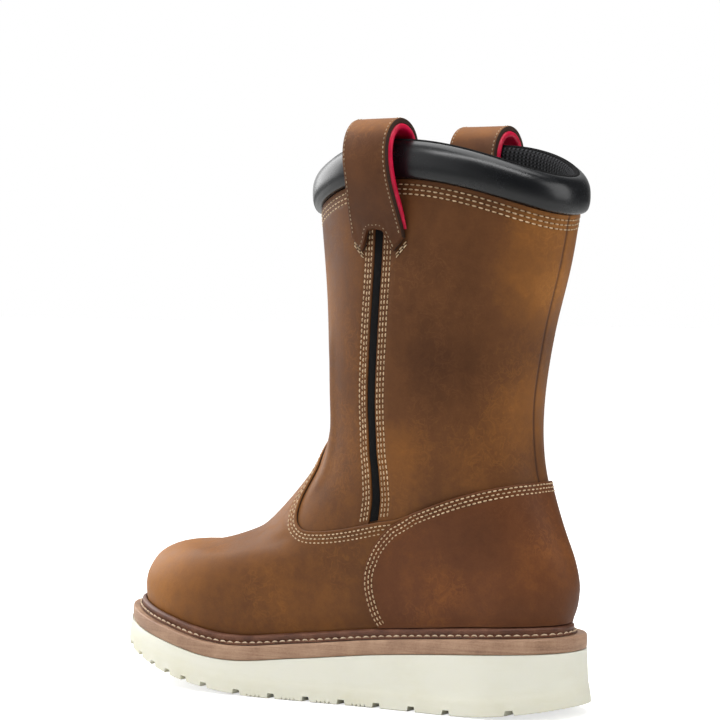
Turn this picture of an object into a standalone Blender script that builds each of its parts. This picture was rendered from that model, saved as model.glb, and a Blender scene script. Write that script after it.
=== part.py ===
"""Pull-on work boot for the right foot, built as the pieces a shoemaker puts together.

Metres, +X to the toe, +Y to the inner (medial) side, +Z up, the floor at z = 0.
A station is a distance along the boot from the back of the heel.  A column is a
place round the upper: angle 0 is the middle of the back, pi is the middle of the
front, the medial side comes first.  A level is a place up the upper, counted in
rows of the SECTIONS table.
"""

import math
from collections import namedtuple

import bmesh
import bpy
import numpy as np
from mathutils import Vector
from mathutils.bvhtree import BVHTree

MM = 0.001
UP = np.array([0, 0, 1])
MEDIAL, LATERAL = 1, -1

# Driving dimensions of the sole unit
SOLE_LENGTH = 305 * MM
SOLE_FLARE = 2.5 * MM
TREAD_LAYER = 9 * MM
TREAD_LAYER_STEP = 0.7 * MM
TREAD_LAYER_FLARE = 0.45 * SOLE_FLARE
GROOVE_DEPTH = 3.0 * MM
GROOVE_WIDTH = 5.2 * MM
GROOVE_TAPER = 0.7 * MM
GROOVE_CLEAR = 0.8 * MM
MIDSOLE_THICKNESS = 8 * MM
FLANGE = 10.8 * MM
INSOLE_THICKNESS = 4 * MM

# Driving dimensions of the upper
FIT_GAP = 0.3 * MM
WALL = 2.4 * MM
OVERLAY = 1.6 * MM
COUNTER_THICKNESS = 1.8 * MM
COUNTER_CLEAR = 1.0 * MM
STRIP_WIDTH = 5.6 * MM
GROOVE_FLOOR = 1.3 * MM
GROOVE_SLOPE = 0.35 * MM
STRIP_SINK = 0.35 * MM
STRIP_START, STRIP_STOP = 0.2, 0.03
EDGE_STEP = 0.055

# Driving dimensions of the collar and the pull straps
STRAP_STATION = 96 * MM
STRAP_LEATHER = 2.8 * MM
STRAP_SEAT = 2 * MM
STRAP_FLARE = 6.6 * MM
STRAP_FLARE_TOP, STRAP_FLARE_FOOT = 4 * MM, -32 * MM

# The sole's outline on the floor: share of the length, half widths in millimetres
OutlineRow = namedtuple("OutlineRow", "share medial lateral")
OUTLINE = [
    OutlineRow(0.02, 36.0, 37.0),
    OutlineRow(0.13, 38.5, 40.0),
    OutlineRow(0.36, 41.5, 43.5),
    OutlineRow(0.52, 47.0, 50.5),
    OutlineRow(0.70, 53.0, 57.0),
    OutlineRow(0.86, 49.0, 48.0),
    OutlineRow(0.97, 45.0, 42.0),
]
HEEL_ROUND_SHARE, HEEL_ROUND_POWER = 0.15, 2.1
TOE_ROUND_SHARE, TOE_ROUND_POWER = 0.27, 2.25
TOE_SWING, TOE_SWING_START = 4 * MM, 0.62

# The wedge in side view: share of the length, top height in millimetres
WedgeRow = namedtuple("WedgeRow", "share top")
WEDGE = [
    WedgeRow(0.00, 35.4),
    WedgeRow(0.10, 34.4),
    WedgeRow(0.24, 31.6),
    WedgeRow(0.36, 28.6),
    WedgeRow(0.52, 23.2),
    WedgeRow(0.68, 19.2),
    WedgeRow(0.85, 27.0),
    WedgeRow(1.00, 36.0),
]
TOE_SPRING, TOE_SPRING_START = 24.5 * MM, 0.57
HEEL_RISE, HEEL_RISE_END = 6.5 * MM, 0.215

# Stations of the grooves across the tread, in millimetres: wide bars to the ball, narrow ones at the toe
HEEL_GROOVE = 25
ARCH_GROOVES = [62 + 22.4 * i for i in range(8)]
TOE_GROOVES = [234 + 13.6 * i for i in range(5)]

# Sections of the upper from the feather edge to the top of the shaft.  Back and front are points
# of the side view and width is half the breadth, in millimetres.  widest is a share of the chord,
# foot is the share of the sole's outline in the section, sag is how far the section follows the
# feather edge, and lift raises the two sides above the chord.
Section = namedtuple(
    "Section", "name back_s back_z front_s front_z width widest back_power front_power foot sag lift"
)
SECTIONS = [
    Section("feather", 13.3, 45.0, 291.7, 42.3, 45.4, 0.66, 2.2, 2.2, 1.00, 1.00, 0),
    Section("welt_top", 11.8, 51.5, 292.6, 49.5, 47.8, 0.66, 2.2, 2.2, 1.00, 0.98, 0),
    Section("toe_front", 9.6, 58.0, 292.0, 58.0, 50.0, 0.65, 2.2, 2.2, 0.95, 0.90, 0),
    Section("toe_shoulder", 8.5, 64.0, 288.8, 65.5, 50.0, 0.63, 2.2, 2.2, 0.90, 0.75, 0),
    Section("toe_round", 8.0, 69.0, 281.8, 73.4, 48.2, 0.60, 2.2, 2.1, 0.80, 0.55, 0),
    Section("toe_crown", 8.4, 73.5, 268.8, 78.8, 45.6, 0.57, 2.2, 2.1, 0.68, 0.38, 0),
    Section("toe_top", 9.3, 78.0, 250.0, 82.0, 43.0, 0.54, 2.2, 2.1, 0.55, 0.22, 0),
    Section("vamp_low", 11.3, 84.0, 226.0, 86.0, 41.0, 0.51, 2.2, 2.0, 0.40, 0.10, 0),
    Section("vamp_high", 14.8, 92.5, 205.0, 95.0, 40.4, 0.50, 2.1, 2.0, 0.25, 0.03, 0),
    Section("instep", 20.4, 105.0, 185.5, 112.5, 41.2, 0.50, 2.1, 2.0, 0.10, 0, 0),
    Section("throat", 26.2, 120.0, 169.2, 131.0, 43.0, 0.50, 2.1, 2.0, 0, 0, 0),
    Section("ankle", 30.0, 139.0, 162.2, 149.0, 44.5, 0.50, 2.1, 2.0, 0, 0, 0),
    Section("low_shaft", 31.0, 168.0, 161.0, 175.0, 45.8, 0.50, 2.1, 2.0, 0, 0, 0),
    Section("mid_shaft", 24.2, 205.0, 161.3, 208.0, 47.5, 0.50, 2.1, 2.0, 0, 0, 1.5),
    Section("high_shaft", 14.8, 240.0, 163.0, 241.0, 49.3, 0.50, 2.1, 2.0, 0, 0, 8),
    Section("shaft_top", 8.5, 269.0, 165.5, 270.0, 50.8, 0.50, 2.1, 2.0, 0, 0, 19.2),
]
TOP_LEVEL = len(SECTIONS) - 1
SIDE_LIFT_POWER = 2.1

# Top line of the vamp and counter: column angle in degrees, level
EdgeRow = namedtuple("EdgeRow", "degrees level")
TOP_LINE = [
    EdgeRow(0, 10.30),
    EdgeRow(25, 10.22),
    EdgeRow(45, 9.97),
    EdgeRow(62, 9.58),
    EdgeRow(74, 9.15),
    EdgeRow(83, 8.76),
    EdgeRow(91, 8.59),
    EdgeRow(103, 8.27),
    EdgeRow(113, 8.06),
    EdgeRow(121, 8.00),
    EdgeRow(128, 8.17),
    EdgeRow(135, 8.50),
    EdgeRow(142, 9.00),
    EdgeRow(149, 9.72),
    EdgeRow(158, 10.30),
    EdgeRow(168, 10.68),
    EdgeRow(180, 10.85),
]
VAMP_TUCK, VAMP_TUCK_ANGLES = 0.25, (66, 80)
VAMP_FADE_ANGLES = (44, 63)

# Front edge of the counter: share of its height, column angle in degrees
CounterRow = namedtuple("CounterRow", "share degrees")
COUNTER_FRONT = [
    CounterRow(0.00, 71.4),
    CounterRow(0.18, 75.0),
    CounterRow(0.38, 77.9),
    CounterRow(0.54, 80.4),
    CounterRow(0.66, 83.0),
    CounterRow(0.76, 85.8),
    CounterRow(0.85, 87.8),
    CounterRow(0.91, 87.9),
    CounterRow(0.955, 86.2),
    CounterRow(0.985, 82.8),
    CounterRow(1.00, 76.5),
]

# Middle of the side strip: level, share of the chord
StripRow = namedtuple("StripRow", "level share")
STRIP_LINE = [
    StripRow(8.5, 0.525),
    StripRow(9.3, 0.539),
    StripRow(10.0, 0.562),
    StripRow(11.0, 0.586),
    StripRow(11.8, 0.591),
    StripRow(13.0, 0.586),
    StripRow(15.0, 0.568),
]

# Profile of the storm welt: outward from the upper and upward from the midsole in millimetres, and the
# share of the upper's own flare that the row follows
WeltRow = namedtuple("WeltRow", "outward up flare")
WELT_PROFILE = [
    WeltRow(0.0, 0.0, 0.0),
    WeltRow(0.0, 5.0, 1.0),
    WeltRow(1.2, 5.4, 1.0),
    WeltRow(2.4, 4.4, 1.0),
    WeltRow(3.0, 2.8, 0.6),
    WeltRow(3.2, 1.6, 0.0),
    WeltRow(5.2, 1.2, 0.0),
    WeltRow(5.2, 0.0, 0.0),
]
BEAD_HEIGHT = max(row.up for row in WELT_PROFILE) * MM

# Outline of the strap's stitched end: distance from its middle, drop below the edge, in millimetres
StrapEndRow = namedtuple("StrapEndRow", "across drop")
STRAP_END = [
    StrapEndRow(0.0, -5.0),
    StrapEndRow(4.5, -4.0),
    StrapEndRow(6.5, 2.0),
    StrapEndRow(8.7, 8.0),
    StrapEndRow(12.0, 4.0),
    StrapEndRow(15.0, 0.0),
]
STRAP_HALF = max(row.across for row in STRAP_END) * MM

# Line of the strap from its outer end over the collar to its inner end: the leather's inner face
# outward from the shaft and upward from the shaft's top edge, and the lining's thickness, in millimetres
StrapRow = namedtuple("StrapRow", "outward up lining")
STRAP_LINE = [
    StrapRow(0.4, -31.0, 0),
    StrapRow(1.6, -27.0, 0.7),
    StrapRow(5.4, -18.0, 2.6),
    StrapRow(10.0, -8.0, 3.3),
    StrapRow(13.6, 2.0, 3.4),
    StrapRow(15.4, 12.0, 3.4),
    StrapRow(14.8, 19.0, 3.4),
    StrapRow(12.2, 24.8, 3.4),
    StrapRow(8.0, 28.6, 3.4),
    StrapRow(3.0, 30.0, 3.4),
    StrapRow(-2.4, 29.0, 3.4),
    StrapRow(-7.2, 25.6, 3.4),
    StrapRow(-10.4, 19.6, 3.4),
    StrapRow(-11.8, 12.0, 3.4),
    StrapRow(-11.8, 0.0, 3.4),
    StrapRow(-9.6, -14.0, 3.4),
    StrapRow(-6.4, -32.0, 3.2),
]
STRAP_FORK_TOP = -18.0
STRAP_OUTER_ROWS = 5

# Across the red lining: distance from the strap's middle in millimetres, share of the full thickness
LiningRow = namedtuple("LiningRow", "across share")
LINING_EDGE = [
    LiningRow(15.4, 0.3),
    LiningRow(14.4, 0.85),
    LiningRow(13.0, 1.0),
    LiningRow(8.7, 1.0),
    LiningRow(4.5, 1.0),
]

# Profile of the padded collar: outward and upward from the shaft's top edge, in millimetres
CollarRow = namedtuple("CollarRow", "outward up")
COLLAR_PROFILE = [
    CollarRow(-0.2, 0.3),
    CollarRow(2.6, 1.0),
    CollarRow(4.6, 4.5),
    CollarRow(5.2, 9.5),
    CollarRow(4.4, 14.5),
    CollarRow(2.2, 18.5),
    CollarRow(-1.2, 20.8),
    CollarRow(-4.2, 19.8),
    CollarRow(-6.0, 16.0),
    CollarRow(-6.4, 9.5),
    CollarRow(-5.6, 3.4),
    CollarRow(-3.4, 0.3),
]

# Mesh density
PLAIN_ANGLES_BACK = [0, 9, 18, 27, 36, 45, 54, 63, 72, 80]
PLAIN_ANGLES_SIDE = [89, 98]
PLAIN_ANGLES_FRONT = [108, 115, 122, 129, 136, 142, 147, 153, 161, 170]
ROWS_BELOW_EDGE = 12
ROWS_ABOVE_EDGE = 8
STRIP_ROWS = 12
OUTSOLE_ROWS, MIDSOLE_ROWS = 30, 36
SOLE_END_TURN = 0.10
OUTLINE_POINTS, BEAD_POINTS = 500, 80
SURFACE_COLUMNS, SURFACE_ROWS = 240, 180
SHARP_ANGLE = math.radians(35)

Colour = namedtuple("Colour", "rgb roughness")
LEATHER = Colour((0.20, 0.095, 0.042), 0.55)
EDGE_LEATHER = Colour((0.36, 0.20, 0.13), 0.6)
WELT_BROWN = Colour((0.11, 0.05, 0.035), 0.45)
WEDGE_WHITE = Colour((0.80, 0.79, 0.70), 0.6)
BLACK_COLLAR = Colour((0.018, 0.02, 0.022), 0.4)
BLACK_CLOTH = Colour((0.012, 0.012, 0.013), 0.8)
RED_LINING = Colour((0.55, 0.005, 0.04), 0.45)


def smooth(xs, ys, x):
    """Cubic curve through table points that keeps their order, read at x."""
    xs, ys, x = (np.asarray(a, float) for a in (xs, ys, x))
    slopes = np.diff(ys) / np.diff(xs)
    tangents = np.empty_like(ys)
    tangents[0], tangents[-1] = slopes[0], slopes[-1]
    before, after = slopes[:-1], slopes[1:]
    same_way = before * after > 0
    harmonic = 2 * before * after / np.where(same_way, before + after, 1)
    tangents[1:-1] = np.where(same_way, harmonic, 0)
    i = np.clip(np.searchsorted(xs, x) - 1, 0, len(xs) - 2)
    width = xs[i + 1] - xs[i]
    u = np.clip((x - xs[i]) / width, 0, 1)
    return (
        (1 + 2 * u) * (1 - u) ** 2 * ys[i]
        + u * (1 - u) ** 2 * width * tangents[i]
        + u * u * (3 - 2 * u) * ys[i + 1]
        + u * u * (u - 1) * width * tangents[i + 1]
    )


def flowing(xs, ys, x):
    """Cubic curve through table points with the slopes of their neighbours, read at x."""
    xs, ys, x = (np.asarray(a, float) for a in (xs, ys, x))
    tangents = np.gradient(ys, xs)
    i = np.clip(np.searchsorted(xs, x) - 1, 0, len(xs) - 2)
    width = xs[i + 1] - xs[i]
    u = (x - xs[i]) / width
    return (
        (1 + 2 * u) * (1 - u) ** 2 * ys[i]
        + u * (1 - u) ** 2 * width * tangents[i]
        + u * u * (3 - 2 * u) * ys[i + 1]
        + u * u * (u - 1) * width * tangents[i + 1]
    )


def column_of(table, name):
    return [getattr(row, name) for row in table]


def ease(low, high, x):
    u = np.clip((np.asarray(x, float) - low) / (high - low), 0, 1)
    return u * u * (3 - 2 * u)


# Sole: outline and heights


def half_width(station, side):
    """Breadth of the sole on one side of the heel's axis, on the floor."""
    share = np.clip(np.asarray(station, float) / SOLE_LENGTH, 0, 1)
    column = "medial" if side == MEDIAL else "lateral"
    shares = column_of(OUTLINE, "share")
    plain = flowing(shares, column_of(OUTLINE, column), np.clip(share, shares[0], shares[-1])) * MM
    heel = np.clip(1 - share / HEEL_ROUND_SHARE, 0, 1)
    toe = np.clip(1 - (1 - share) / TOE_ROUND_SHARE, 0, 1)
    rounding = (1 - heel**HEEL_ROUND_POWER) ** (1 / HEEL_ROUND_POWER)
    rounding = rounding * (1 - toe**TOE_ROUND_POWER) ** (1 / TOE_ROUND_POWER)
    swing = TOE_SWING * ease(TOE_SWING_START, 1, share)
    return side * plain * rounding + swing


def wedge_top(station):
    share = np.asarray(station, float) / SOLE_LENGTH
    return flowing(column_of(WEDGE, "share"), column_of(WEDGE, "top"), share) * MM


def wedge_bottom(station):
    share = np.asarray(station, float) / SOLE_LENGTH
    spring = np.clip((share - TOE_SPRING_START) / (1 - TOE_SPRING_START), 0, 1)
    rise = np.clip((HEEL_RISE_END - share) / HEEL_RISE_END, 0, 1)
    return TOE_SPRING * spring**2 + HEEL_RISE * rise**2


def midsole_bottom(station):
    return wedge_top(station) + FIT_GAP


def midsole_top(station):
    return midsole_bottom(station) + MIDSOLE_THICKNESS


def inset_outline(inset):
    """Two functions of the station, medial and lateral, for the outline moved in by a distance."""
    turn = np.linspace(0, math.pi, OUTLINE_POINTS)
    station = SOLE_LENGTH * (1 - np.cos(turn)) / 2
    sides = {}
    for side in (MEDIAL, LATERAL):
        y = half_width(station, side)
        tangent = np.stack([np.gradient(station, turn), np.gradient(y, turn)], -1)
        tangent /= np.linalg.norm(tangent, axis=1)[:, None]
        inward = side * np.stack([tangent[:, 1], -tangent[:, 0]], -1)
        moved = np.stack([station, y], -1) + inset * inward
        order = np.argsort(moved[:, 0])
        sides[side] = moved[order]
    return sides


def read_outline(outline, station, side):
    points = outline[side]
    return np.interp(station, points[:, 0], points[:, 1])


# Upper: the form of the last, as one function of column and level

FEATHER_OUTLINE = inset_outline(SOLE_FLARE + FLANGE)
FEATHER_HALF = SECTIONS[0].width * MM


def at_level(name, level):
    return flowing(range(len(SECTIONS)), column_of(SECTIONS, name), level)


def feather_height(station):
    return midsole_top(station) + FIT_GAP


def oval(share, widest, back_power, front_power):
    """Half breadth of a section of unit width, round at the back and the front."""
    back = np.clip(1 - share / widest, 0, 1)
    front = np.clip((share - widest) / (1 - widest), 0, 1)
    return (1 - back**back_power) ** (1 / back_power) * (1 - front**front_power) ** (1 / front_power)


def foot_outline(share, side):
    """The feather edge stretched to any chord, in units of its own half width."""
    first = SECTIONS[0]
    station = (first.back_s + (first.front_s - first.back_s) * share) * MM
    return read_outline(FEATHER_OUTLINE, station, side) / FEATHER_HALF


def upper_point(angle, level):
    """A point on the outer face of the upper, as arrays of x, y and z."""
    angle, level = np.broadcast_arrays(np.asarray(angle, float), np.asarray(level, float))
    share = (1 - np.cos(angle)) / 2
    medial = np.sin(angle) >= 0
    back_s, front_s = at_level("back_s", level), at_level("front_s", level)
    back_z, front_z = at_level("back_z", level), at_level("front_z", level)
    station = (back_s + (front_s - back_s) * share) * MM
    foot = np.clip(at_level("foot", level), 0, 1)
    round_part = oval(
        share, at_level("widest", level), at_level("back_power", level), at_level("front_power", level)
    )
    round_part = np.where(medial, round_part, -round_part)
    outline = np.where(medial, foot_outline(share, MEDIAL), foot_outline(share, LATERAL))
    ends = np.isclose(np.sin(angle), 0, atol=1e-9)
    centre = (foot_outline(share, MEDIAL) + foot_outline(share, LATERAL)) / 2
    outline = np.where(ends, centre, outline)
    y = at_level("width", level) * MM * (foot * outline + (1 - foot) * np.where(ends, 0, round_part))
    first = SECTIONS[0]
    chord = feather_height(first.back_s * MM) * (1 - share) + feather_height(first.front_s * MM) * share
    first_station = (first.back_s + (first.front_s - first.back_s) * share) * MM
    follow = np.clip(at_level("sag", level), 0, 1) * (feather_height(first_station) - chord)
    lift = np.maximum(at_level("lift", level), 0) * MM * np.abs(np.sin(angle)) ** SIDE_LIFT_POWER
    height = (back_z * (1 - share) + front_z * share) * MM
    foot_of_wall = np.clip(1 - level, 0, 1)
    height = height + foot_of_wall * (chord - (first.back_z * (1 - share) + first.front_z * share) * MM)
    return np.stack([station - SOLE_LENGTH / 2, y, height + follow + lift], -1)


def upper_normal(angle, level):
    """Outward direction of the upper's outer face."""
    turn, climb = 0.02, 0.04
    angle, level = np.broadcast_arrays(np.asarray(angle, float), np.asarray(level, float))
    low, high = np.clip(level - climb, 0, None), np.clip(level + climb, None, TOP_LEVEL)
    around = upper_point(angle + turn, level) - upper_point(angle - turn, level)
    up = upper_point(angle, high) - upper_point(angle, low)
    normal = np.cross(up, around)
    return normal / np.linalg.norm(normal, axis=-1, keepdims=True)


def degrees_from_back(angle):
    """Column angle in degrees, the same on both sides: 0 at the back, 180 at the front."""
    turn = np.degrees(np.asarray(angle, float)) % 360
    return np.minimum(turn, 360 - turn)


def top_level(angle):
    """Level of the top line of the counter and the vamp."""
    return flowing(column_of(TOP_LINE, "degrees"), column_of(TOP_LINE, "level"), degrees_from_back(angle))


def vamp_level(angle):
    """Level of the vamp's edge, tucked under the counter at the back."""
    return top_level(angle) - VAMP_TUCK * (1 - ease(*VAMP_TUCK_ANGLES, degrees_from_back(angle)))


def vamp_thickness(angle):
    """The vamp lies over the shaft at the front and runs out under the counter."""
    return OVERLAY * ease(*VAMP_FADE_ANGLES, degrees_from_back(angle))


def bead_level(angle, height):
    """Level at which one column stands a height above the feather edge."""
    levels = np.linspace(0, 2, BEAD_POINTS)
    rise = upper_point(angle, levels)[:, 2] - upper_point(angle, 0.0)[2]
    return float(np.interp(height, rise, levels))


def strip_angle(level, across):
    """Angle of a point on the medial side strip, a distance in front of its middle."""
    share = smooth(column_of(STRIP_LINE, "level"), column_of(STRIP_LINE, "share"), level)
    chord = (at_level("front_s", level) - at_level("back_s", level)) * MM
    return np.arccos(1 - 2 * (share + across / chord))


# Meshes


def material(name, colour):
    made = bpy.data.materials.new(name)
    made.use_nodes = True
    shader = made.node_tree.nodes["Principled BSDF"]
    shader.inputs["Base Color"].default_value = (*colour.rgb, 1)
    shader.inputs["Roughness"].default_value = colour.roughness
    shader.inputs["Metallic"].default_value = 0
    made.diffuse_color = (*colour.rgb, 1)
    return made


def loft(name, loops, colour, ring=False):
    """One closed solid through loops of equal length.  A ring joins its last loop to the first."""
    loops = np.asarray(loops, float)
    count, size = loops.shape[:2]
    points = loops.reshape(-1, 3)
    patches = []
    for i in range(count if ring else count - 1):
        here, there = i * size, (i + 1) % count * size
        for j in range(size):
            k = (j + 1) % size
            patches.append((here + j, here + k, there + k, there + j))
    if not ring:
        for start in (0, (count - 1) * size):
            for j in range(size // 2 - 1):
                patches.append((start + j, start + j + 1, start + size - 2 - j, start + size - 1 - j))
    faces = []
    for a, b, c, d in patches:
        along = np.linalg.norm(points[a] - points[c]) <= np.linalg.norm(points[b] - points[d])
        faces += [(a, b, c), (a, c, d)] if along else [(a, b, d), (b, c, d)]
    mesh = bpy.data.meshes.new(name)
    mesh.from_pydata([tuple(p) for p in points], [], faces)
    work = bmesh.new()
    work.from_mesh(mesh)
    bmesh.ops.recalc_face_normals(work, faces=work.faces)
    work.to_mesh(mesh)
    work.free()
    mesh.shade_smooth()
    mesh.set_sharp_from_angle(angle=SHARP_ANGLE)
    mesh.materials.append(material(name, colour))
    made = bpy.data.objects.new(name, mesh)
    bpy.context.scene.collection.objects.link(made)
    return made


def plan_normals(points):
    """Outward directions in plan of a closed loop that runs clockwise seen from above."""
    ahead = np.roll(points, -1, axis=0) - np.roll(points, 1, axis=0)
    out = np.stack([-ahead[:, 1], ahead[:, 0], np.zeros(len(points))], -1)
    return out / np.linalg.norm(out, axis=1)[:, None]


# Sole pieces


def groove_stations():
    return [g * MM for g in [HEEL_GROOVE] + ARCH_GROOVES + TOE_GROOVES]


def sole_stations(first, last, count):
    turn = np.linspace(SOLE_END_TURN, math.pi - SOLE_END_TURN, count)
    return list(first + (last - first) * (1 - np.cos(turn)) / 2)


def build_outsole():
    """Wedge of pale foam rubber: flared sides, a stepped tread layer, bars cut across the tread."""
    half = GROOVE_WIDTH / 2
    stations = {s: 0.0 for s in sole_stations(0, SOLE_LENGTH, OUTSOLE_ROWS)}
    for groove in groove_stations():
        stations = {s: cut for s, cut in stations.items() if abs(s - groove) >= half + GROOVE_CLEAR}
        for edge in (-1, 1):
            stations[groove + edge * half] = 0.0
            stations[groove + edge * (half - GROOVE_TAPER)] = GROOVE_DEPTH
    upper_outline = inset_outline(SOLE_FLARE)
    layer_outline = inset_outline(TREAD_LAYER_FLARE)
    loops = []
    for station, cut in sorted(stations.items()):
        share = station / SOLE_LENGTH
        bottom = wedge_bottom(station) + cut
        layer = wedge_bottom(station) + TREAD_LAYER
        top_station = SOLE_FLARE + (SOLE_LENGTH - 2 * SOLE_FLARE) * share
        layer_station = TREAD_LAYER_FLARE + (SOLE_LENGTH - 2 * TREAD_LAYER_FLARE) * share
        top = wedge_top(top_station)
        x_floor, x_layer, x_top = (s - SOLE_LENGTH / 2 for s in (station, layer_station, top_station))
        side = {}
        for s in (MEDIAL, LATERAL):
            y_layer = read_outline(layer_outline, layer_station, s)
            side[s] = [
                (x_floor, half_width(station, s), bottom),
                (x_layer, y_layer, layer),
                (x_layer, y_layer - s * TREAD_LAYER_STEP, layer + TREAD_LAYER_STEP),
                (x_top, read_outline(upper_outline, top_station, s), top),
            ]
        loops.append(side[MEDIAL][::-1] + side[LATERAL])
    return loft("outsole", loops, WEDGE_WHITE)


def plate_loops(outline, first, last, bottom, top, count):
    loops = []
    for station in sole_stations(first, last, count):
        x = station - SOLE_LENGTH / 2
        ys = [read_outline(outline, station, s) for s in (MEDIAL, LATERAL)]
        low, high = float(bottom(station)), float(top(station))
        loops.append([(x, ys[0], low), (x, ys[1], low), (x, ys[1], high), (x, ys[0], high)])
    return loops


def build_midsole():
    """Leather midsole whose trimmed edge shows between the wedge and the welt."""
    outline = inset_outline(SOLE_FLARE)
    first, last = SOLE_FLARE, SOLE_LENGTH - SOLE_FLARE
    loops = plate_loops(outline, first, last, midsole_bottom, midsole_top, MIDSOLE_ROWS)
    return loft("midsole", loops, EDGE_LEATHER)


def build_insole(angles):
    """Footbed that lies on the midsole inside the upper."""
    wall_side = upper_point(angles, 0.0) - (WALL + FIT_GAP * 2) * upper_normal(angles, 0.0)
    count = len(angles) // 2
    loops = []
    for i in range(1, count):
        medial, lateral = wall_side[i], wall_side[-i]
        lows = [midsole_top(p[0] + SOLE_LENGTH / 2) + FIT_GAP for p in (medial, lateral)]
        loops.append(
            [
                (medial[0], medial[1], lows[0]),
                (lateral[0], lateral[1], lows[1]),
                (lateral[0], lateral[1], lows[1] + INSOLE_THICKNESS),
                (medial[0], medial[1], lows[0] + INSOLE_THICKNESS),
            ]
        )
    return loft("insole", loops, BLACK_CLOTH)


def build_storm_welt(angles):
    """Dark welt with a bead that stands against the upper and a foot on the midsole."""
    foot = upper_point(angles, 0.0)
    top = np.array([upper_point(a, bead_level(a, BEAD_HEIGHT)) for a in angles])
    out = plan_normals(foot)
    flare = np.maximum(((top - foot) * out).sum(axis=1), 0)
    loops = []
    for i, angle in enumerate(angles):
        wall = vamp_thickness(angle) + FIT_GAP
        loop = []
        for row in WELT_PROFILE:
            p = foot[i] + out[i] * (wall + row.outward * MM + flare[i] * row.flare)
            floor = midsole_top(np.clip(p[0] + SOLE_LENGTH / 2, 0, SOLE_LENGTH)) + FIT_GAP
            loop.append((p[0], p[1], floor + row.up * MM))
        loops.append(loop)
    return loft("storm_welt", loops, WELT_BROWN, ring=True)


# Upper pieces


def upper_columns():
    """Columns of one side, back to front: plain angles and the four edges of the strip's groove."""
    edge = STRIP_WIDTH / 2
    strip = [(-edge - GROOVE_SLOPE, 0), (-edge, 1), (edge, 1), (edge + GROOVE_SLOPE, 0)]
    medial = [("plain", math.radians(a), 0) for a in PLAIN_ANGLES_BACK]
    medial += [("strip", across, sunk) for across, sunk in strip]
    return medial + [("plain", math.radians(a), 0) for a in PLAIN_ANGLES_FRONT]


def column_angles(kind, value, levels, side):
    angle = strip_angle(levels, value) if kind == "strip" else np.full(len(levels), value)
    return angle if side == MEDIAL else 2 * math.pi - angle


def column_levels(edge):
    below = np.linspace(0, edge, ROWS_BELOW_EDGE + 1)
    above = np.linspace(edge, TOP_LEVEL, ROWS_ABOVE_EDGE + 2)[1:]
    return np.concatenate([below, [edge + EDGE_STEP], above])


def build_upper():
    """One hollow wall from the feather edge to the top of the shaft, with the vamp as a step in it."""
    half = upper_columns()
    columns = [(c, MEDIAL) for c in half + [("plain", math.pi, 0)]]
    columns += [(c, LATERAL) for c in reversed(half[1:])]
    loops = []
    for (kind, value, sunk), side in columns:
        guess = strip_angle(STRIP_LINE[0].level, value) if kind == "strip" else value
        levels = column_levels(float(vamp_level(guess)))
        angles = column_angles(kind, value, levels, side)
        base = upper_point(angles, levels)
        normal = upper_normal(angles, levels)
        under_edge = np.arange(len(levels)) <= ROWS_BELOW_EDGE
        thickness = np.where(under_edge, vamp_thickness(angles), 0)
        groove = np.where(under_edge, 0, sunk * GROOVE_FLOOR)
        outer = base + normal * (thickness - groove)[:, None]
        inner = base - normal * WALL
        outer[0, 2] = inner[0, 2] = base[0, 2]
        inner[-1, 2] = outer[-1, 2] = base[-1, 2]
        loops.append(np.concatenate([outer, inner[::-1]]))
    return loft("upper", loops, LEATHER, ring=True)


def build_side_strip(name, side):
    """Black strip in the seam between the front and back of the shaft."""
    edge = STRIP_WIDTH / 2 - FIT_GAP
    loops = []
    for across in (-edge, 0.0, edge):
        start = float(vamp_level(strip_angle(STRIP_LINE[0].level, across))) + STRIP_START
        levels = np.linspace(start, TOP_LEVEL - STRIP_STOP, STRIP_ROWS)
        angles = column_angles("strip", across, levels, side)
        base, normal = upper_point(angles, levels), upper_normal(angles, levels)
        face = base - normal * STRIP_SINK
        back = base - normal * (GROOVE_FLOOR - FIT_GAP)
        loops.append(np.concatenate([face, back[::-1]]))
    return loft(name, loops, BLACK_CLOTH)


def upper_surface():
    """The upper's outer face as a fine surface that a ray can meet."""
    angles = np.linspace(0, 2 * math.pi, SURFACE_COLUMNS, endpoint=False)
    levels = np.linspace(0, TOP_LEVEL, SURFACE_ROWS)
    points = upper_point(angles[:, None], levels[None, :]).reshape(-1, 3)
    faces = []
    for i in range(SURFACE_COLUMNS):
        here, there = i * SURFACE_ROWS, (i + 1) % SURFACE_COLUMNS * SURFACE_ROWS
        for j in range(SURFACE_ROWS - 1):
            faces.append((here + j, there + j, there + j + 1, here + j + 1))
    return BVHTree.FromPolygons([Vector(p) for p in points], faces)


def build_heel_counter():
    """Counter cut between two forms outside the upper, from one front edge round the back to the other."""
    shares = np.arange(1, ROWS_BELOW_EDGE + 1) / ROWS_BELOW_EDGE
    front = flowing(column_of(COUNTER_FRONT, "share"), column_of(COUNTER_FRONT, "degrees"), shares)
    back = [np.full(len(shares), a) for a in PLAIN_ANGLES_BACK if a <= VAMP_FADE_ANGLES[1]]
    half = back + [(back[-1] + front) / 2, front]
    loops = []
    for turn in [-a for a in reversed(half[1:])] + half:
        angles = np.radians(turn)
        levels = shares * vamp_level(angles)
        levels[0] = bead_level(angles[0], BEAD_HEIGHT + COUNTER_CLEAR)
        levels[-1] = top_level(angles[-1])
        base, normal = upper_point(angles, levels), upper_normal(angles, levels)
        seat = (vamp_thickness(angles) + FIT_GAP)[:, None]
        inner = base + normal * seat
        outer = base + normal * (seat + COUNTER_THICKNESS)
        loops.append(np.concatenate([outer, inner[::-1]]))
    return loft("heel_counter", loops, LEATHER)


def build_collar(angles):
    """Padded black collar on the top edge of the shaft."""
    edge = upper_point(angles, float(TOP_LEVEL))
    out = plan_normals(edge)
    loops = []
    for place, direction in zip(edge, out):
        loops.append([place + direction * row.outward * MM + UP * row.up * MM for row in COLLAR_PROFILE])
    return loft("collar", loops, BLACK_COLLAR, ring=True)


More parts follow.
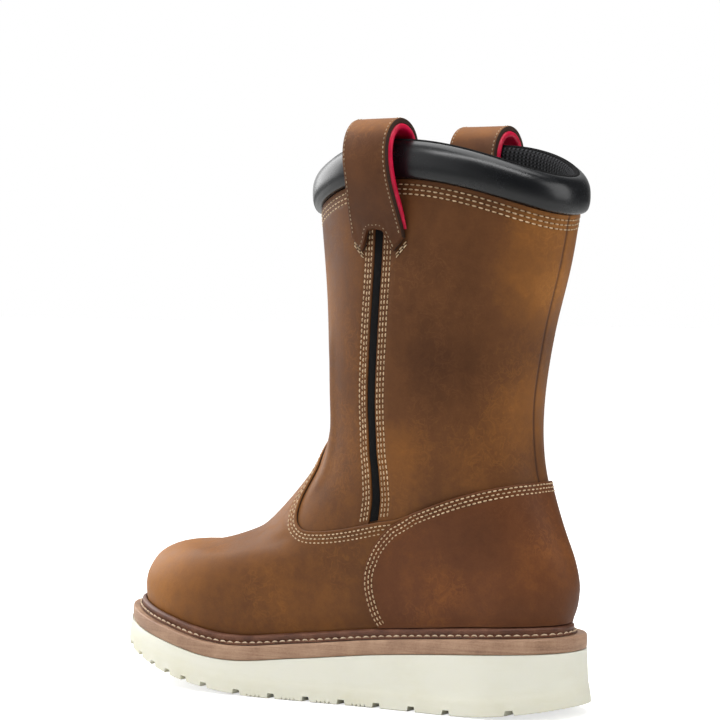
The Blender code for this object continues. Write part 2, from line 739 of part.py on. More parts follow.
# Pull straps


def shaft_side(tree, x, side, up, seat):
    """Distance of the shaft's outer face from the middle plane, at a place along the boot and a height."""
    start = Vector((x, 0, seat + min(up, -STRAP_SEAT)))
    place, _, _, _ = tree.ray_cast(start, Vector((0, side, 0)))
    return abs(place.y)


def strap_line(across):
    """The strap's rows at one place across it.  The rows of the stitched end follow the fork."""
    outward, up, lining = (np.array(column_of(STRAP_LINE, n), float) for n in ("outward", "up", "lining"))
    ends = column_of(STRAP_END, "across"), column_of(STRAP_END, "drop")
    end = up[0] - np.interp(abs(across) / MM, *ends)
    low = (up < STRAP_FORK_TOP) & (np.arange(len(up)) < STRAP_OUTER_ROWS)
    stretch = (end - STRAP_FORK_TOP) / (up[0] - STRAP_FORK_TOP)
    forked = np.where(low, STRAP_FORK_TOP + (up - STRAP_FORK_TOP) * stretch, up)
    leg = slice(0, STRAP_OUTER_ROWS)
    forked_outward = np.where(low, np.interp(forked, up[leg], outward[leg]), outward)
    return np.stack([forked_outward, forked], -1) * MM, np.stack([outward, up], -1) * MM, lining * MM


def outer_side(line):
    """Directions from the rows of a line away from the collar."""
    ahead = np.gradient(line, axis=0)
    ahead /= np.linalg.norm(ahead, axis=1)[:, None]
    return np.stack([ahead[:, 1], -ahead[:, 0]], -1)


def strap_x(across, outward, up):
    """Place of a strap point along the boot.  The outer leg spreads forward to its stitched end."""
    plain = STRAP_STATION - SOLE_LENGTH / 2 + across
    if outward < 0:
        return plain
    share = (across + STRAP_HALF) / (2 * STRAP_HALF)
    return plain + STRAP_FLARE * share * float(ease(STRAP_FLARE_TOP, STRAP_FLARE_FOOT, up))


def stand_strap(tree, side, across, faces):
    """Points of a loop made of two faces of the strap, set against the shaft's side."""
    top = upper_point(strip_angle(float(TOP_LEVEL), 0.0), float(TOP_LEVEL))[2]
    loop = []
    for outward, up in np.concatenate([faces[0], faces[1][::-1]]):
        x = strap_x(across, outward, up)
        loop.append((x, side * (shaft_side(tree, x, side, up, top) + outward), top + up))
    return loop


def build_pull_strap(name, side, tree):
    """Leather loop over the collar, sewn to the shaft with a forked end round the strip."""
    loops = []
    for across in sorted({s * row.across * MM for row in STRAP_END for s in (1, -1)}):
        line, _, _ = strap_line(across)
        faces = line + outer_side(line) * STRAP_LEATHER, line
        loops.append(stand_strap(tree, side, across, faces))
    return loft(name, loops, LEATHER)


def build_strap_lining(name, side, tree):
    """Red lining inside the strap, with rounded edges that show on both sides of it."""
    half = [(row.across * MM, row.share) for row in LINING_EDGE]
    loops = []
    for across, share in half + [(0.0, 1.0)] + [(-a, s) for a, s in reversed(half)]:
        _, line, lining = strap_line(across)
        inward = -outer_side(line)
        middle = line + inward * (FIT_GAP + lining / 2)[:, None]
        reach = inward * (share * lining / 2)[:, None]
        loops.append(stand_strap(tree, side, across, ((middle - reach)[1:], (middle + reach)[1:])))
    return loft(name, loops, RED_LINING)


def main():
    for old in list(bpy.data.objects):
        bpy.data.objects.remove(old, do_unlink=True)
    even = np.radians(PLAIN_ANGLES_BACK + PLAIN_ANGLES_SIDE + PLAIN_ANGLES_FRONT)
    even = np.concatenate([even, [math.pi], 2 * math.pi - even[:0:-1]])
    build_outsole()
    build_midsole()
    build_insole(even)
    build_storm_welt(even)
    build_upper()
    tree = upper_surface()
    build_heel_counter()
    build_collar(even)
    for name, side in (("medial", MEDIAL), ("lateral", LATERAL)):
        build_side_strip("side_strip_" + name, side)
        build_pull_strap("pull_strap_" + name, side, tree)
        build_strap_lining("strap_lining_" + name, side, tree)


main()
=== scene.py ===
"""Looks of the pull-on work boot: leather, padding, stitching and studio light around the fixed solids.

Metres, +X to the toe, +Y to the inner (medial) side, +Z up, the floor at z = 0.
A station is a distance along the boot from the back of the heel.  A column is a
place round the upper: angle 0 is the middle of the back, pi is the middle of the
front, the medial side comes first.  A level is a place up the upper, counted in
rows of the SECTIONS table.
"""

import math
from collections import namedtuple

import bpy
import numpy as np
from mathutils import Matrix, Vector
from mathutils.bvhtree import BVHTree


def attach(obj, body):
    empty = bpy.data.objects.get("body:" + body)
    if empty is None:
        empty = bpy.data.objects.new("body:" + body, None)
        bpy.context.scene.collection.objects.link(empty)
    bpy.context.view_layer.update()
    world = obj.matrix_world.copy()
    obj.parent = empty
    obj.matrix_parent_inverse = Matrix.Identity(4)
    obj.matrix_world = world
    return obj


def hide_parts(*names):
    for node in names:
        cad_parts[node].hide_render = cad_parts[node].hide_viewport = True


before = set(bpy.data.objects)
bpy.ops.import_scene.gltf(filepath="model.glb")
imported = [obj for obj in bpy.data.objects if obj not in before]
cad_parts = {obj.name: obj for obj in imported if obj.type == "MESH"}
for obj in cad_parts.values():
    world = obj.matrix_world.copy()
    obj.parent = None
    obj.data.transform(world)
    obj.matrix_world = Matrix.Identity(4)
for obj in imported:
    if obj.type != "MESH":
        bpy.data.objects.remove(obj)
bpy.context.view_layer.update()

MM = 0.001
UP = np.array([0.0, 0.0, 1.0])
MEDIAL, LATERAL = 1, -1
SIDES = (("medial", MEDIAL), ("lateral", LATERAL))


def table(columns, rows):
    """Rows of numbers with named columns."""
    row_type = namedtuple("Row", columns)
    return [row_type(*row) for row in rows]


# Sole, as in the solids
SOLE_LENGTH = 305 * MM
SOLE_FLARE = 2.5 * MM
TREAD_LAYER = 9 * MM
TREAD_LAYER_STEP = 0.7 * MM
TREAD_LAYER_FLARE = 0.45 * SOLE_FLARE
GROOVE_DEPTH = 3.0 * MM
GROOVE_WIDTH = 5.2 * MM
GROOVE_TAPER = 0.7 * MM
MIDSOLE_THICKNESS = 8 * MM
FLANGE = 10.8 * MM

# Upper, as in the solids
FIT_GAP = 0.3 * MM
WALL = 2.4 * MM
OVERLAY = 1.6 * MM
COUNTER_THICKNESS = 1.8 * MM
COUNTER_CLEAR = 1.0 * MM
STRIP_WIDTH = 5.6 * MM
STRIP_GROOVE = 1.3 * MM
STRIP_SLOPE = 0.35 * MM
STRIP_SINK = 0.35 * MM
STRAP_STATION = 96 * MM
STRAP_HALF = 15 * MM
STRAP_LEATHER = 2.8 * MM
STRAP_SEAT = 2 * MM
STRAP_FLARE = 6.6 * MM
STRAP_FLARE_TOP, STRAP_FLARE_FOOT = 4 * MM, -32 * MM

# Outline of the sole: shares along it and half breadths in millimetres, with a round heel and toe
OUTLINE = table("share medial lateral", [
    (0.02, 36.0, 37.0),
    (0.13, 38.5, 40.0),
    (0.36, 41.5, 43.5),
    (0.52, 47.0, 50.5),
    (0.70, 53.0, 57.0),
    (0.86, 49.0, 48.0),
    (0.97, 45.0, 42.0),
])
HEEL_ROUND_SHARE, HEEL_ROUND_POWER = 0.15, 2.1
TOE_ROUND_SHARE, TOE_ROUND_POWER = 0.27, 2.25
TOE_SWING, TOE_SWING_START = 4 * MM, 0.62

# Wedge: heights of its top in millimetres, its curved bottom, and places of the bars from the heel
WEDGE = table("share top", [
    (0.00, 35.4),
    (0.10, 34.4),
    (0.24, 31.6),
    (0.36, 28.6),
    (0.52, 23.2),
    (0.68, 19.2),
    (0.85, 27.0),
    (1.00, 36.0),
])
TOE_SPRING, TOE_SPRING_START = 24.5 * MM, 0.57
HEEL_RISE, HEEL_RISE_END = 6.5 * MM, 0.215
HEEL_GROOVE = 25
ARCH_GROOVES = [62 + 22.4 * i for i in range(8)]
TOE_GROOVES = [234 + 13.6 * i for i in range(5)]

# Sole, finer than the solids: ticks between the middle bars, soft edges
TICKED_BARS = range(2, 6)
TICKS_PER_BAR, TICK_PITCH = 4, 2.6
TICK_WIDTH, TICK_DEPTH = 1.0 * MM, 1.4 * MM
CUT_CLEAR = 0.3 * MM
TREAD_EASE = 4 * MM
FOOT_INSET, FOOT_EDGE_INSET, FOOT_ROUND = 0.7 * MM, 0.15 * MM, 0.5 * MM
TREAD_ROW_SHARES, TREAD_ROW_CLEAR = (0.42, 0.75, 0.9), 0.1 * MM
SIDE_ROW_SHARES = np.linspace(0.04, 1, 9)
WEDGE_TOP_DRAW = 0.5 * MM
MIDSOLE_SIDE = table("up draw", [
    (0, 0.6),
    (0.06, 0.15),
    (0.16, 0),
    (0.4, -0.1),
    (0.65, -0.1),
    (0.85, 0),
    (0.95, 0.2),
    (1, 0.7),
])

# Sections of the upper from its foot to its top: back end, front end and half breadth in millimetres
SECTIONS = table("name back_s back_z front_s front_z width widest back_power front_power foot sag lift", [
    ("feather", 13.3, 45.0, 291.7, 42.3, 45.4, 0.66, 2.2, 2.2, 1.00, 1.00, 0),
    ("welt_top", 11.8, 51.5, 292.6, 49.5, 47.8, 0.66, 2.2, 2.2, 1.00, 0.98, 0),
    ("toe_front", 9.6, 58.0, 292.0, 58.0, 50.0, 0.65, 2.2, 2.2, 0.95, 0.90, 0),
    ("toe_shoulder", 8.5, 64.0, 288.8, 65.5, 50.0, 0.63, 2.2, 2.2, 0.90, 0.75, 0),
    ("toe_round", 8.0, 69.0, 281.8, 73.4, 48.2, 0.60, 2.2, 2.1, 0.80, 0.55, 0),
    ("toe_crown", 8.4, 73.5, 268.8, 78.8, 45.6, 0.57, 2.2, 2.1, 0.68, 0.38, 0),
    ("toe_top", 9.3, 78.0, 250.0, 82.0, 43.0, 0.54, 2.2, 2.1, 0.55, 0.22, 0),
    ("vamp_low", 11.3, 84.0, 226.0, 86.0, 41.0, 0.51, 2.2, 2.0, 0.40, 0.10, 0),
    ("vamp_high", 14.8, 92.5, 205.0, 95.0, 40.4, 0.50, 2.1, 2.0, 0.25, 0.03, 0),
    ("instep", 20.4, 105.0, 185.5, 112.5, 41.2, 0.50, 2.1, 2.0, 0.10, 0, 0),
    ("throat", 26.2, 120.0, 169.2, 131.0, 43.0, 0.50, 2.1, 2.0, 0, 0, 0),
    ("ankle", 30.0, 139.0, 162.2, 149.0, 44.5, 0.50, 2.1, 2.0, 0, 0, 0),
    ("low_shaft", 31.0, 168.0, 161.0, 175.0, 45.8, 0.50, 2.1, 2.0, 0, 0, 0),
    ("mid_shaft", 24.2, 205.0, 161.3, 208.0, 47.5, 0.50, 2.1, 2.0, 0, 0, 1.5),
    ("high_shaft", 14.8, 240.0, 163.0, 241.0, 49.3, 0.50, 2.1, 2.0, 0, 0, 8),
    ("shaft_top", 8.5, 269.0, 165.5, 270.0, 50.8, 0.50, 2.1, 2.0, 0, 0, 19.2),
])
TOP_LEVEL = len(SECTIONS) - 1
SIDE_LIFT_POWER = 2.1

# Top edge of the vamp and counter by degrees from the back, as in the solids but rounded at the front
TOP_LINE = table("degrees level", [
    (0, 10.30),
    (25, 10.22),
    (45, 9.97),
    (62, 9.58),
    (74, 9.15),
    (83, 8.76),
    (91, 8.59),
    (103, 8.27),
    (113, 8.06),
    (121, 8.00),
    (128, 8.17),
    (135, 8.50),
    (142, 9.00),
    (149, 9.72),
    (158, 10.30),
    (168, 10.70),
    (175, 10.81),
    (180, 10.82),
])
VAMP_TUCK, VAMP_TUCK_ANGLES = 0.25, (66, 80)
VAMP_FADE_ANGLES = (44, 63)

# Front edge of the counter, the side strip's line, and the straps in millimetres
COUNTER_FRONT = table("share degrees", [
    (0.00, 71.4),
    (0.18, 75.0),
    (0.38, 77.9),
    (0.54, 80.4),
    (0.66, 83.0),
    (0.76, 85.8),
    (0.85, 87.8),
    (0.91, 87.9),
    (0.955, 86.2),
    (0.985, 82.8),
    (1.00, 76.5),
])

STRIP_LINE = table("level share", [
    (8.5, 0.525),
    (9.3, 0.539),
    (10.0, 0.562),
    (11.0, 0.586),
    (11.8, 0.591),
    (13.0, 0.586),
    (15.0, 0.568),
])

STRAP_END = table("across drop", [
    (0.0, -5.0),
    (4.5, -4.0),
    (6.5, 2.0),
    (8.7, 8.0),
    (12.0, 4.0),
    (15.0, 0.0),
])

STRAP_LINE = table("outward up lining", [
    (0.4, -31.0, 0),
    (1.6, -27.0, 0.7),
    (5.4, -18.0, 2.6),
    (10.0, -8.0, 3.3),
    (13.6, 2.0, 3.4),
    (15.4, 12.0, 3.4),
    (14.8, 19.0, 3.4),
    (12.2, 24.8, 3.4),
    (8.0, 28.6, 3.4),
    (3.0, 30.0, 3.4),
    (-2.4, 29.0, 3.4),
    (-7.2, 25.6, 3.4),
    (-10.4, 19.6, 3.4),
    (-11.8, 12.0, 3.4),
    (-11.8, 0.0, 3.4),
    (-9.6, -14.0, 3.4),
    (-6.4, -32.0, 3.2),
])
STRAP_FORK_TOP = -18.0
STRAP_OUTER_ROWS = 5

# Finish of the straps, a painted highlight toward the top of the loop, and the lining's columns in
# millimetres from the middle
STRAP_EDGE_ROUND, STRAP_ROW_STEP = 0.5 * MM, 1.2 * MM
STRAP_TOP_HIGHLIGHT, STRAP_TOP_HIGHLIGHT_FROM, STRAP_TOP_HIGHLIGHT_TO = 0.16, 20 * MM, 30 * MM
LINING_ACROSS = [0, 4.5, 8.7, 11.4, 12.8, 13.6, 14.3, 14.9, 15.4, 15.8, 16.05, 16.15]
LINING_ROLL, LINING_FIRST_ROW = 1.7 * MM, 3

# Profiles in millimetres, outward from the upper, and up from the midsole or from the shaft's top edge
WELT_PROFILE = table("outward up flare", [
    (0.0, 0.1, 0.0),
    (0.0, 2.6, 0.5),
    (0.0, 4.9, 1.0),
    (0.5, 5.5, 1.0),
    (1.3, 5.4, 1.0),
    (1.9, 4.9, 1.0),
    (2.4, 4.6, 0.9),
    (2.9, 4.1, 0.7),
    (3.2, 3.2, 0.5),
    (3.2, 2.1, 0.2),
    (3.4, 1.4, 0.0),
    (4.4, 1.1, 0.0),
    (5.2, 0.9, 0.0),
    (5.3, 0.1, 0.0),
])
BEAD_HEIGHT = 5.4 * MM
COLLAR_PROFILE = table("outward up", [
    (-0.2, 0.3),
    (3.2, 0.9),
    (4.8, 4.3),
    (5.2, 9.5),
    (4.6, 14.3),
    (2.5, 18.4),
    (-1.0, 20.8),
    (-4.2, 19.8),
    (-6.0, 16.0),
    (-6.4, 9.5),
    (-5.6, 3.4),
    (-3.4, 0.3),
])
COLLAR_SLACK, LINING_FOOT = 0.03, 1.5 * MM
BINDING_OUT, BINDING_UP = -2.0 * MM, 20.55 * MM
BINDING_WIDTH, BINDING_HEIGHT = 1.5 * MM, 1.0 * MM

# Stitch rows: distances in from a cut edge, pitch along the row, thread radius
VAMP_ROWS = [2.3 * MM, 4.4 * MM, 6.8 * MM]
COUNTER_ROWS = [1.5 * MM, 3.6 * MM, 5.7 * MM]
STRIP_ROWS = [1.4 * MM, 3.4 * MM, 5.6 * MM]
COLLAR_ROWS = [2.8 * MM, 5.4 * MM, 7.9 * MM]
Thread = namedtuple("Thread", "pitch cover radius sink")
PANEL_THREAD = Thread(3.0 * MM, 0.76, 0.42 * MM, 0.08 * MM)
COLLAR_THREAD = Thread(3.7 * MM, 0.74, 0.42 * MM, 0.08 * MM)
STRAP_THREAD = Thread(2.5 * MM, 0.72, 0.36 * MM, 0.05 * MM)
WELT_THREAD = Thread(4.9 * MM, 0.76, 0.53 * MM, 0.0)
# Needle holes: sunk dark marks between the stitches, painted shade of the holes
HOLE_COVER, HOLE_SIZE, HOLE_SINK = 0.30, 1.15, 0.42 * MM
PUCKER_DEPTH, PUCKER_WIDTH = 0.28 * MM, 0.6 * MM
STITCH_SEAT = 0.12 * MM

# Where rows and strips start and end: degrees from the back, levels, shares of the counter's height
VAMP_PUCKER_ANGLES = (74, 84)
STRIP_FOOT_LEVEL, STRIP_FOOT_GAP, STRIP_HEAD_GAP = 8.6, 0.06, 0.03
STRIP_ROW_FOOT, STRIP_ROW_HEAD = 0.12, 0.42
STRIP_CROWN, STRIP_SET = 0.25 * MM, 0.1 * MM
VAMP_ROW_ANGLES, VAMP_ROW_CLEAR = (84.5, 275.5), 0.8
COUNTER_FOOT, COUNTER_ROW_FOOT = 0.1, 0.092

# Stitches of the welt and straps, with the fork's row and the tacks in millimetres from the strap's end
WELT_ROW_OUT, WELT_ROW_UP, WELT_ROW_LEAN = 4.5 * MM, 1.35 * MM, 0.35
STRAP_ROW_ACROSS, STRAP_ROW_SPAN = 13.5 * MM, slice(3, 66)
STRAP_ROW_LIFT = STRAP_LEATHER - 0.05 * MM
FORK_ROW = table("across up", [
    (-9.9, -5.6),
    (-8.0, -1.0),
    (-6.0, 4.2),
    (-3.4, 6.6),
    (0, 6.7),
])
TACK_FROM, TACK_TO = np.array([9.2, -8.0]), np.array([15.4, -0.4])
TACK_GAPS, TACK_LIFT = (1.6, 3.3), 0.25 * MM

# Soft folds of the leather: lines in degrees from the back and levels, width and height in millimetres
FOLDS = table("degrees level to_degrees to_level width height", [
    (140, 6.1, 180, 6.1, 9.0, -1.8),
    (136, 9.6, 138, 12.6, 6.0, 1.1),
    (149, 10.2, 152, 12.0, 7.0, -0.7),
    (163, 11.2, 180, 11.35, 9.0, -0.8),
    (128, 7.2, 168, 7.7, 7.0, -0.5),
    (134, 7.75, 168, 8.35, 6.0, 0.35),
    (18, 11.4, 66, 11.0, 9.0, -0.5),
    (24, 11.9, 58, 11.7, 8.0, 0.35),
    (50, 13.2, 76, 12.6, 12.0, -0.5),
])
MM_PER_DEGREE, MM_PER_LEVEL = 1.2, 14.0
WAVE_HEIGHT, WAVE_LEVELS = 0.35 * MM, (9, 12)

# Lighter and darker places of the leather, along the boot and up in millimetres: most are the leather's own
# tone, and some are painted highlights, marked below
TONES_AND_HIGHLIGHTS = table("station height reach amount", [
    # toe top and front: lighter leather and a painted highlight where the light falls on the toe
    (282, 66, 34, 0.17),
    (245, 80, 34, 0.14),
    (252, 44, 22, 0.08),
    (200, 60, 30, 0.04),
    (150, 58, 36, 0.05),
    # instep: a painted highlight on its upward face
    (182, 108, 26, 0.15),
    # shaft's front edge: painted sheen, a highlight along the lit edge
    (160, 200, 34, 0.02),
    (167, 228, 22, 0.26),
    (164, 184, 18, 0.14),
    (166, 140, 20, 0.22),
    (88, 215, 26, -0.03),
    (66, 182, 26, -0.15),
    (96, 262, 24, -0.05),
    (60, 150, 26, 0.06),
    # back edge beside the seam: warmer leather and a painted highlight along the lit edge
    (24, 170, 20, 0.16),
    (4, 225, 22, 0.33),
    (2, 264, 20, 0.22),
    (94, 138, 26, 0.09),
    (48, 98, 26, -0.01),
    (8, 92, 20, 0.08),
    (84, 64, 30, 0.07),
    (40, 62, 24, 0.04),
])
SEAM_DARK, SEAM_WIDTH, SEAM_DEPTH = 0.26, 0.6 * MM, 0.32 * MM
BACK_RADIUS, SHAFT_RADIUS = 45 * MM, 46 * MM

# Mesh density, with rows near an edge as distances from it in millimetres
BACK_COLUMNS, FRONT_COLUMNS = 52, 84
FOOT_ROWS, SHAFT_ROWS, LINING_ROWS = 44, 72, 40
RING_COLUMNS = 340
OUTLINE_POINTS = 240
STRAP_ROWS, STRAP_COLUMNS = 96, 30
STITCH_STEPS, STITCH_SIDES = 6, 6
COLLAR_SIDES, BINDING_SIDES = 48, 12
OUTLINE_END = 0.03
CUT_EDGE = [0.0, 0.12, 0.35, 0.7]
EDGE_ROUND = 0.9 * MM
VAMP_BAND, VAMP_BAND_ROWS = 13.6 * MM, CUT_EDGE + [1.3, 2.3, 3.35, 4.4, 5.6, 6.8, 8.0, 9.6, 11.6]
STEP_ROWS = [0.05, 0.6, 1.8]
TOP_BAND_ROWS = [12.5, 10.5, 9.2, 7.9, 6.65, 5.4, 4.1, 2.8, 1.4, 0.0]
COUNTER_BAND, COUNTER_BAND_ROWS = 10 * MM, CUT_EDGE + [1.2, 1.9, 2.95, 4.0, 5.1, 6.2, 7.4]
COUNTER_REACH, COUNTER_HEIGHT = 95 * MM, 75 * MM
SEAM_COLUMN, ROW_COLUMN = 0.9 * MM, 1.05 * MM
BACK_SEAM_COLUMNS = [0, 0.006, 0.014, 0.026]
BACK_START, BACK_END, BACK_LIMIT = 0.045, 0.90, 0.93
FRONT_END, FRONT_LIMIT = 0.88, 0.90
GROOVE_LIP = 0.12
STRAP_FLAT, STRAP_EDGE_COLUMNS = 14.2, [14.5, 14.75, 14.92, 15.0]


def hermite(xs, ys, tangents, x):
    """Cubic curve through points with the given tangents, read at x."""
    i = np.clip(np.searchsorted(xs, x) - 1, 0, len(xs) - 2)
    width = xs[i + 1] - xs[i]
    u = (x - xs[i]) / width
    return (
        (1 + 2 * u) * (1 - u) ** 2 * ys[i]
        + u * (1 - u) ** 2 * width * tangents[i]
        + u * u * (3 - 2 * u) * ys[i + 1]
        + u * u * (u - 1) * width * tangents[i + 1]
    )


def smooth(xs, ys, x):
    """Cubic curve through table points that keeps their order, read at x and level beyond the ends."""
    xs, ys, x = (np.asarray(a, float) for a in (xs, ys, x))
    slopes = np.diff(ys) / np.diff(xs)
    tangents = np.empty_like(ys)
    tangents[0], tangents[-1] = slopes[0], slopes[-1]
    before, after = slopes[:-1], slopes[1:]
    same_way = before * after > 0
    harmonic = 2 * before * after / np.where(same_way, before + after, 1)
    tangents[1:-1] = np.where(same_way, harmonic, 0)
    return hermite(xs, ys, tangents, np.clip(x, xs[0], xs[-1]))


def flowing(xs, ys, x):
    """Cubic curve through table points with the slopes of their neighbours, read at x."""
    xs, ys, x = (np.asarray(a, float) for a in (xs, ys, x))
    return hermite(xs, ys, np.gradient(ys, xs), x)


def column_of(rows, name):
    return [getattr(row, name) for row in rows]


def read(rows, along, name, at):
    """One column of a table as a smooth curve along another."""
    return flowing(column_of(rows, along), column_of(rows, name), at)


def ease(low, high, x):
    """Smooth rise from 0 at low to 1 at high."""
    u = np.clip((np.asarray(x, float) - low) / (high - low), 0, 1)
    return u * u * (3 - 2 * u)


def edge_round(distance, radius=EDGE_ROUND):
    """Share of the full thickness at a distance in from a rounded edge."""
    u = np.clip(np.asarray(distance, float) / radius, 0, 1)
    return np.sqrt(1 - (1 - u) ** 2)


def unit(vectors):
    return vectors / np.linalg.norm(vectors, axis=-1, keepdims=True)


# Sole: outline and heights


def half_width(station, side):
    share = np.clip(np.asarray(station, float) / SOLE_LENGTH, 0, 1)
    column = "medial" if side == MEDIAL else "lateral"
    plain = read(OUTLINE, "share", column, np.clip(share, OUTLINE[0].share, OUTLINE[-1].share)) * MM
    heel = np.clip(1 - share / HEEL_ROUND_SHARE, 0, 1)
    toe = np.clip(1 - (1 - share) / TOE_ROUND_SHARE, 0, 1)
    rounding = (1 - heel**HEEL_ROUND_POWER) ** (1 / HEEL_ROUND_POWER)
    rounding = rounding * (1 - toe**TOE_ROUND_POWER) ** (1 / TOE_ROUND_POWER)
    return side * plain * rounding + TOE_SWING * ease(TOE_SWING_START, 1, share)


def wedge_top(station):
    return read(WEDGE, "share", "top", np.asarray(station, float) / SOLE_LENGTH) * MM


def wedge_bottom(station):
    share = np.asarray(station, float) / SOLE_LENGTH
    spring = np.clip((share - TOE_SPRING_START) / (1 - TOE_SPRING_START), 0, 1)
    rise = np.clip((HEEL_RISE_END - share) / HEEL_RISE_END, 0, 1)
    return TOE_SPRING * spring**2 + HEEL_RISE * rise**2


def midsole_bottom(station):
    return wedge_top(station) + FIT_GAP


def midsole_top(station):
    return midsole_bottom(station) + MIDSOLE_THICKNESS


def inset_outline(inset):
    """The sole's outline moved in by a distance: points by side, in order of their station."""
    turn = np.linspace(0, math.pi, 2 * OUTLINE_POINTS)
    station = SOLE_LENGTH * (1 - np.cos(turn)) / 2
    sides = {}
    for side in (MEDIAL, LATERAL):
        y = half_width(station, side)
        tangent = unit(np.stack([np.gradient(station, turn), np.gradient(y, turn)], -1))
        inward = side * np.stack([tangent[:, 1], -tangent[:, 0]], -1)
        moved = np.stack([station, y], -1) + inset * inward
        sides[side] = moved[np.argsort(moved[:, 0])]
    return sides


def read_outline(outline, station, side):
    return np.interp(station, outline[side][:, 0], outline[side][:, 1])


# Upper: the form of the last, as one function of column and level

FEATHER_OUTLINE = inset_outline(SOLE_FLARE + FLANGE)
FEATHER_HALF = SECTIONS[0].width * MM


def at_level(name, level):
    return flowing(range(len(SECTIONS)), column_of(SECTIONS, name), level)


def feather_height(station):
    return midsole_top(station) + FIT_GAP


def oval(share, widest, back_power, front_power):
    back = np.clip(1 - share / widest, 0, 1)
    front = np.clip((share - widest) / (1 - widest), 0, 1)
    return (1 - back**back_power) ** (1 / back_power) * (1 - front**front_power) ** (1 / front_power)


def foot_outline(share, side):
    first = SECTIONS[0]
    station = (first.back_s + (first.front_s - first.back_s) * share) * MM
    return read_outline(FEATHER_OUTLINE, station, side) / FEATHER_HALF


def upper_point(angle, level):
    """A point on the outer face of the plain upper."""
    angle, level = np.broadcast_arrays(np.asarray(angle, float), np.asarray(level, float))
    share = (1 - np.cos(angle)) / 2
    medial = np.sin(angle) >= 0
    back_s, front_s = at_level("back_s", level), at_level("front_s", level)
    back_z, front_z = at_level("back_z", level), at_level("front_z", level)
    station = (back_s + (front_s - back_s) * share) * MM
    foot = np.clip(at_level("foot", level), 0, 1)
    round_part = oval(
        share, at_level("widest", level), at_level("back_power", level), at_level("front_power", level)
    )
    round_part = np.where(medial, round_part, -round_part)
    outline = np.where(medial, foot_outline(share, MEDIAL), foot_outline(share, LATERAL))
    ends = np.isclose(np.sin(angle), 0, atol=1e-9)
    centre = (foot_outline(share, MEDIAL) + foot_outline(share, LATERAL)) / 2
    outline = np.where(ends, centre, outline)
    y = at_level("width", level) * MM * (foot * outline + (1 - foot) * np.where(ends, 0, round_part))
    first = SECTIONS[0]
    chord = feather_height(first.back_s * MM) * (1 - share) + feather_height(first.front_s * MM) * share
    first_station = (first.back_s + (first.front_s - first.back_s) * share) * MM
    follow = np.clip(at_level("sag", level), 0, 1) * (feather_height(first_station) - chord)
    lift = np.maximum(at_level("lift", level), 0) * MM * np.abs(np.sin(angle)) ** SIDE_LIFT_POWER
    height = (back_z * (1 - share) + front_z * share) * MM
    foot_of_wall = np.clip(1 - level, 0, 1)
    height = height + foot_of_wall * (chord - (first.back_z * (1 - share) + first.front_z * share) * MM)
    return np.stack([station - SOLE_LENGTH / 2, y, height + follow + lift], -1)


def slopes_at(angle, level):
    """How the upper's face runs at a place: per radian round it and per level up it."""
    turn, climb = 0.02, 0.04
    angle, level = np.broadcast_arrays(np.asarray(angle, float), np.asarray(level, float))
    low, high = np.clip(level - climb, 0, None), np.clip(level + climb, None, TOP_LEVEL)
    around = (upper_point(angle + turn, level) - upper_point(angle - turn, level)) / (2 * turn)
    upward = (upper_point(angle, high) - upper_point(angle, low)) / (high - low)[..., None]
    return around, upward


def upper_normal(angle, level):
    around, upward = slopes_at(angle, level)
    return unit(np.cross(upward, around))


def degrees_from_back(angle):
    turn = np.degrees(np.asarray(angle, float)) % 360
    return np.minimum(turn, 360 - turn)


def on_side(angles, side):
    """Angles of the medial side, turned over for the lateral one."""
    return angles if side == MEDIAL else 2 * math.pi - angles


def top_level(angle):
    return read(TOP_LINE, "degrees", "level", degrees_from_back(angle))


def vamp_level(angle):
    return top_level(angle) - VAMP_TUCK * (1 - ease(*VAMP_TUCK_ANGLES, degrees_from_back(angle)))


def vamp_thickness(angle):
    return OVERLAY * ease(*VAMP_FADE_ANGLES, degrees_from_back(angle))


def counter_degrees(share):
    return read(COUNTER_FRONT, "share", "degrees", share)


def bead_level(angle, height):
    """Level at which one column stands a height above the feather edge."""
    levels = np.linspace(0, 2, 60)
    rise = upper_point(angle, levels)[:, 2] - upper_point(angle, 0.0)[2]
    return float(np.interp(height, rise, levels))


def strip_angle(level, across):
    """Angle of a point beside the medial strip's middle, a distance in front of it."""
    share = smooth(column_of(STRIP_LINE, "level"), column_of(STRIP_LINE, "share"), level)
    chord = (at_level("front_s", level) - at_level("back_s", level)) * MM
    return np.arccos(1 - 2 * (share + across / chord))


def fold_height(angle, level):
    """The leather's soft folds and slow waves, outward from the plain upper."""
    degrees = degrees_from_back(angle)
    place = np.stack([degrees * MM_PER_DEGREE, np.asarray(level, float) * MM_PER_LEVEL], -1)
    height = np.zeros(np.shape(level))
    for fold in FOLDS:
        start = np.array([fold.degrees * MM_PER_DEGREE, fold.level * MM_PER_LEVEL])
        run = np.array([fold.to_degrees * MM_PER_DEGREE, fold.to_level * MM_PER_LEVEL]) - start
        u = np.clip(((place - start) @ run) / (run @ run), 0, 1)
        gap = np.linalg.norm(place - start - u[..., None] * run, axis=-1)
        height = height + fold.height * MM * np.exp(-((gap / fold.width) ** 2))
    wave = np.sin(degrees / 11 + level * 1.7) * np.sin(degrees / 19 - level * 0.9)
    return height + WAVE_HEIGHT * wave * ease(*WAVE_LEVELS, level)


def skin_point(angle, level, lift):
    """A point of the leather, lifted off the plain upper."""
    lift = np.asarray(lift, float) + fold_height(angle, level)
    return upper_point(angle, level) + upper_normal(angle, level) * lift[..., None]


def pucker(distance, rows):
    """How far the leather is drawn in by rows of stitches beside an edge."""
    distance = np.asarray(distance, float)
    return -PUCKER_DEPTH * sum(np.exp(-(((distance - r) / PUCKER_WIDTH) ** 2)) for r in rows)


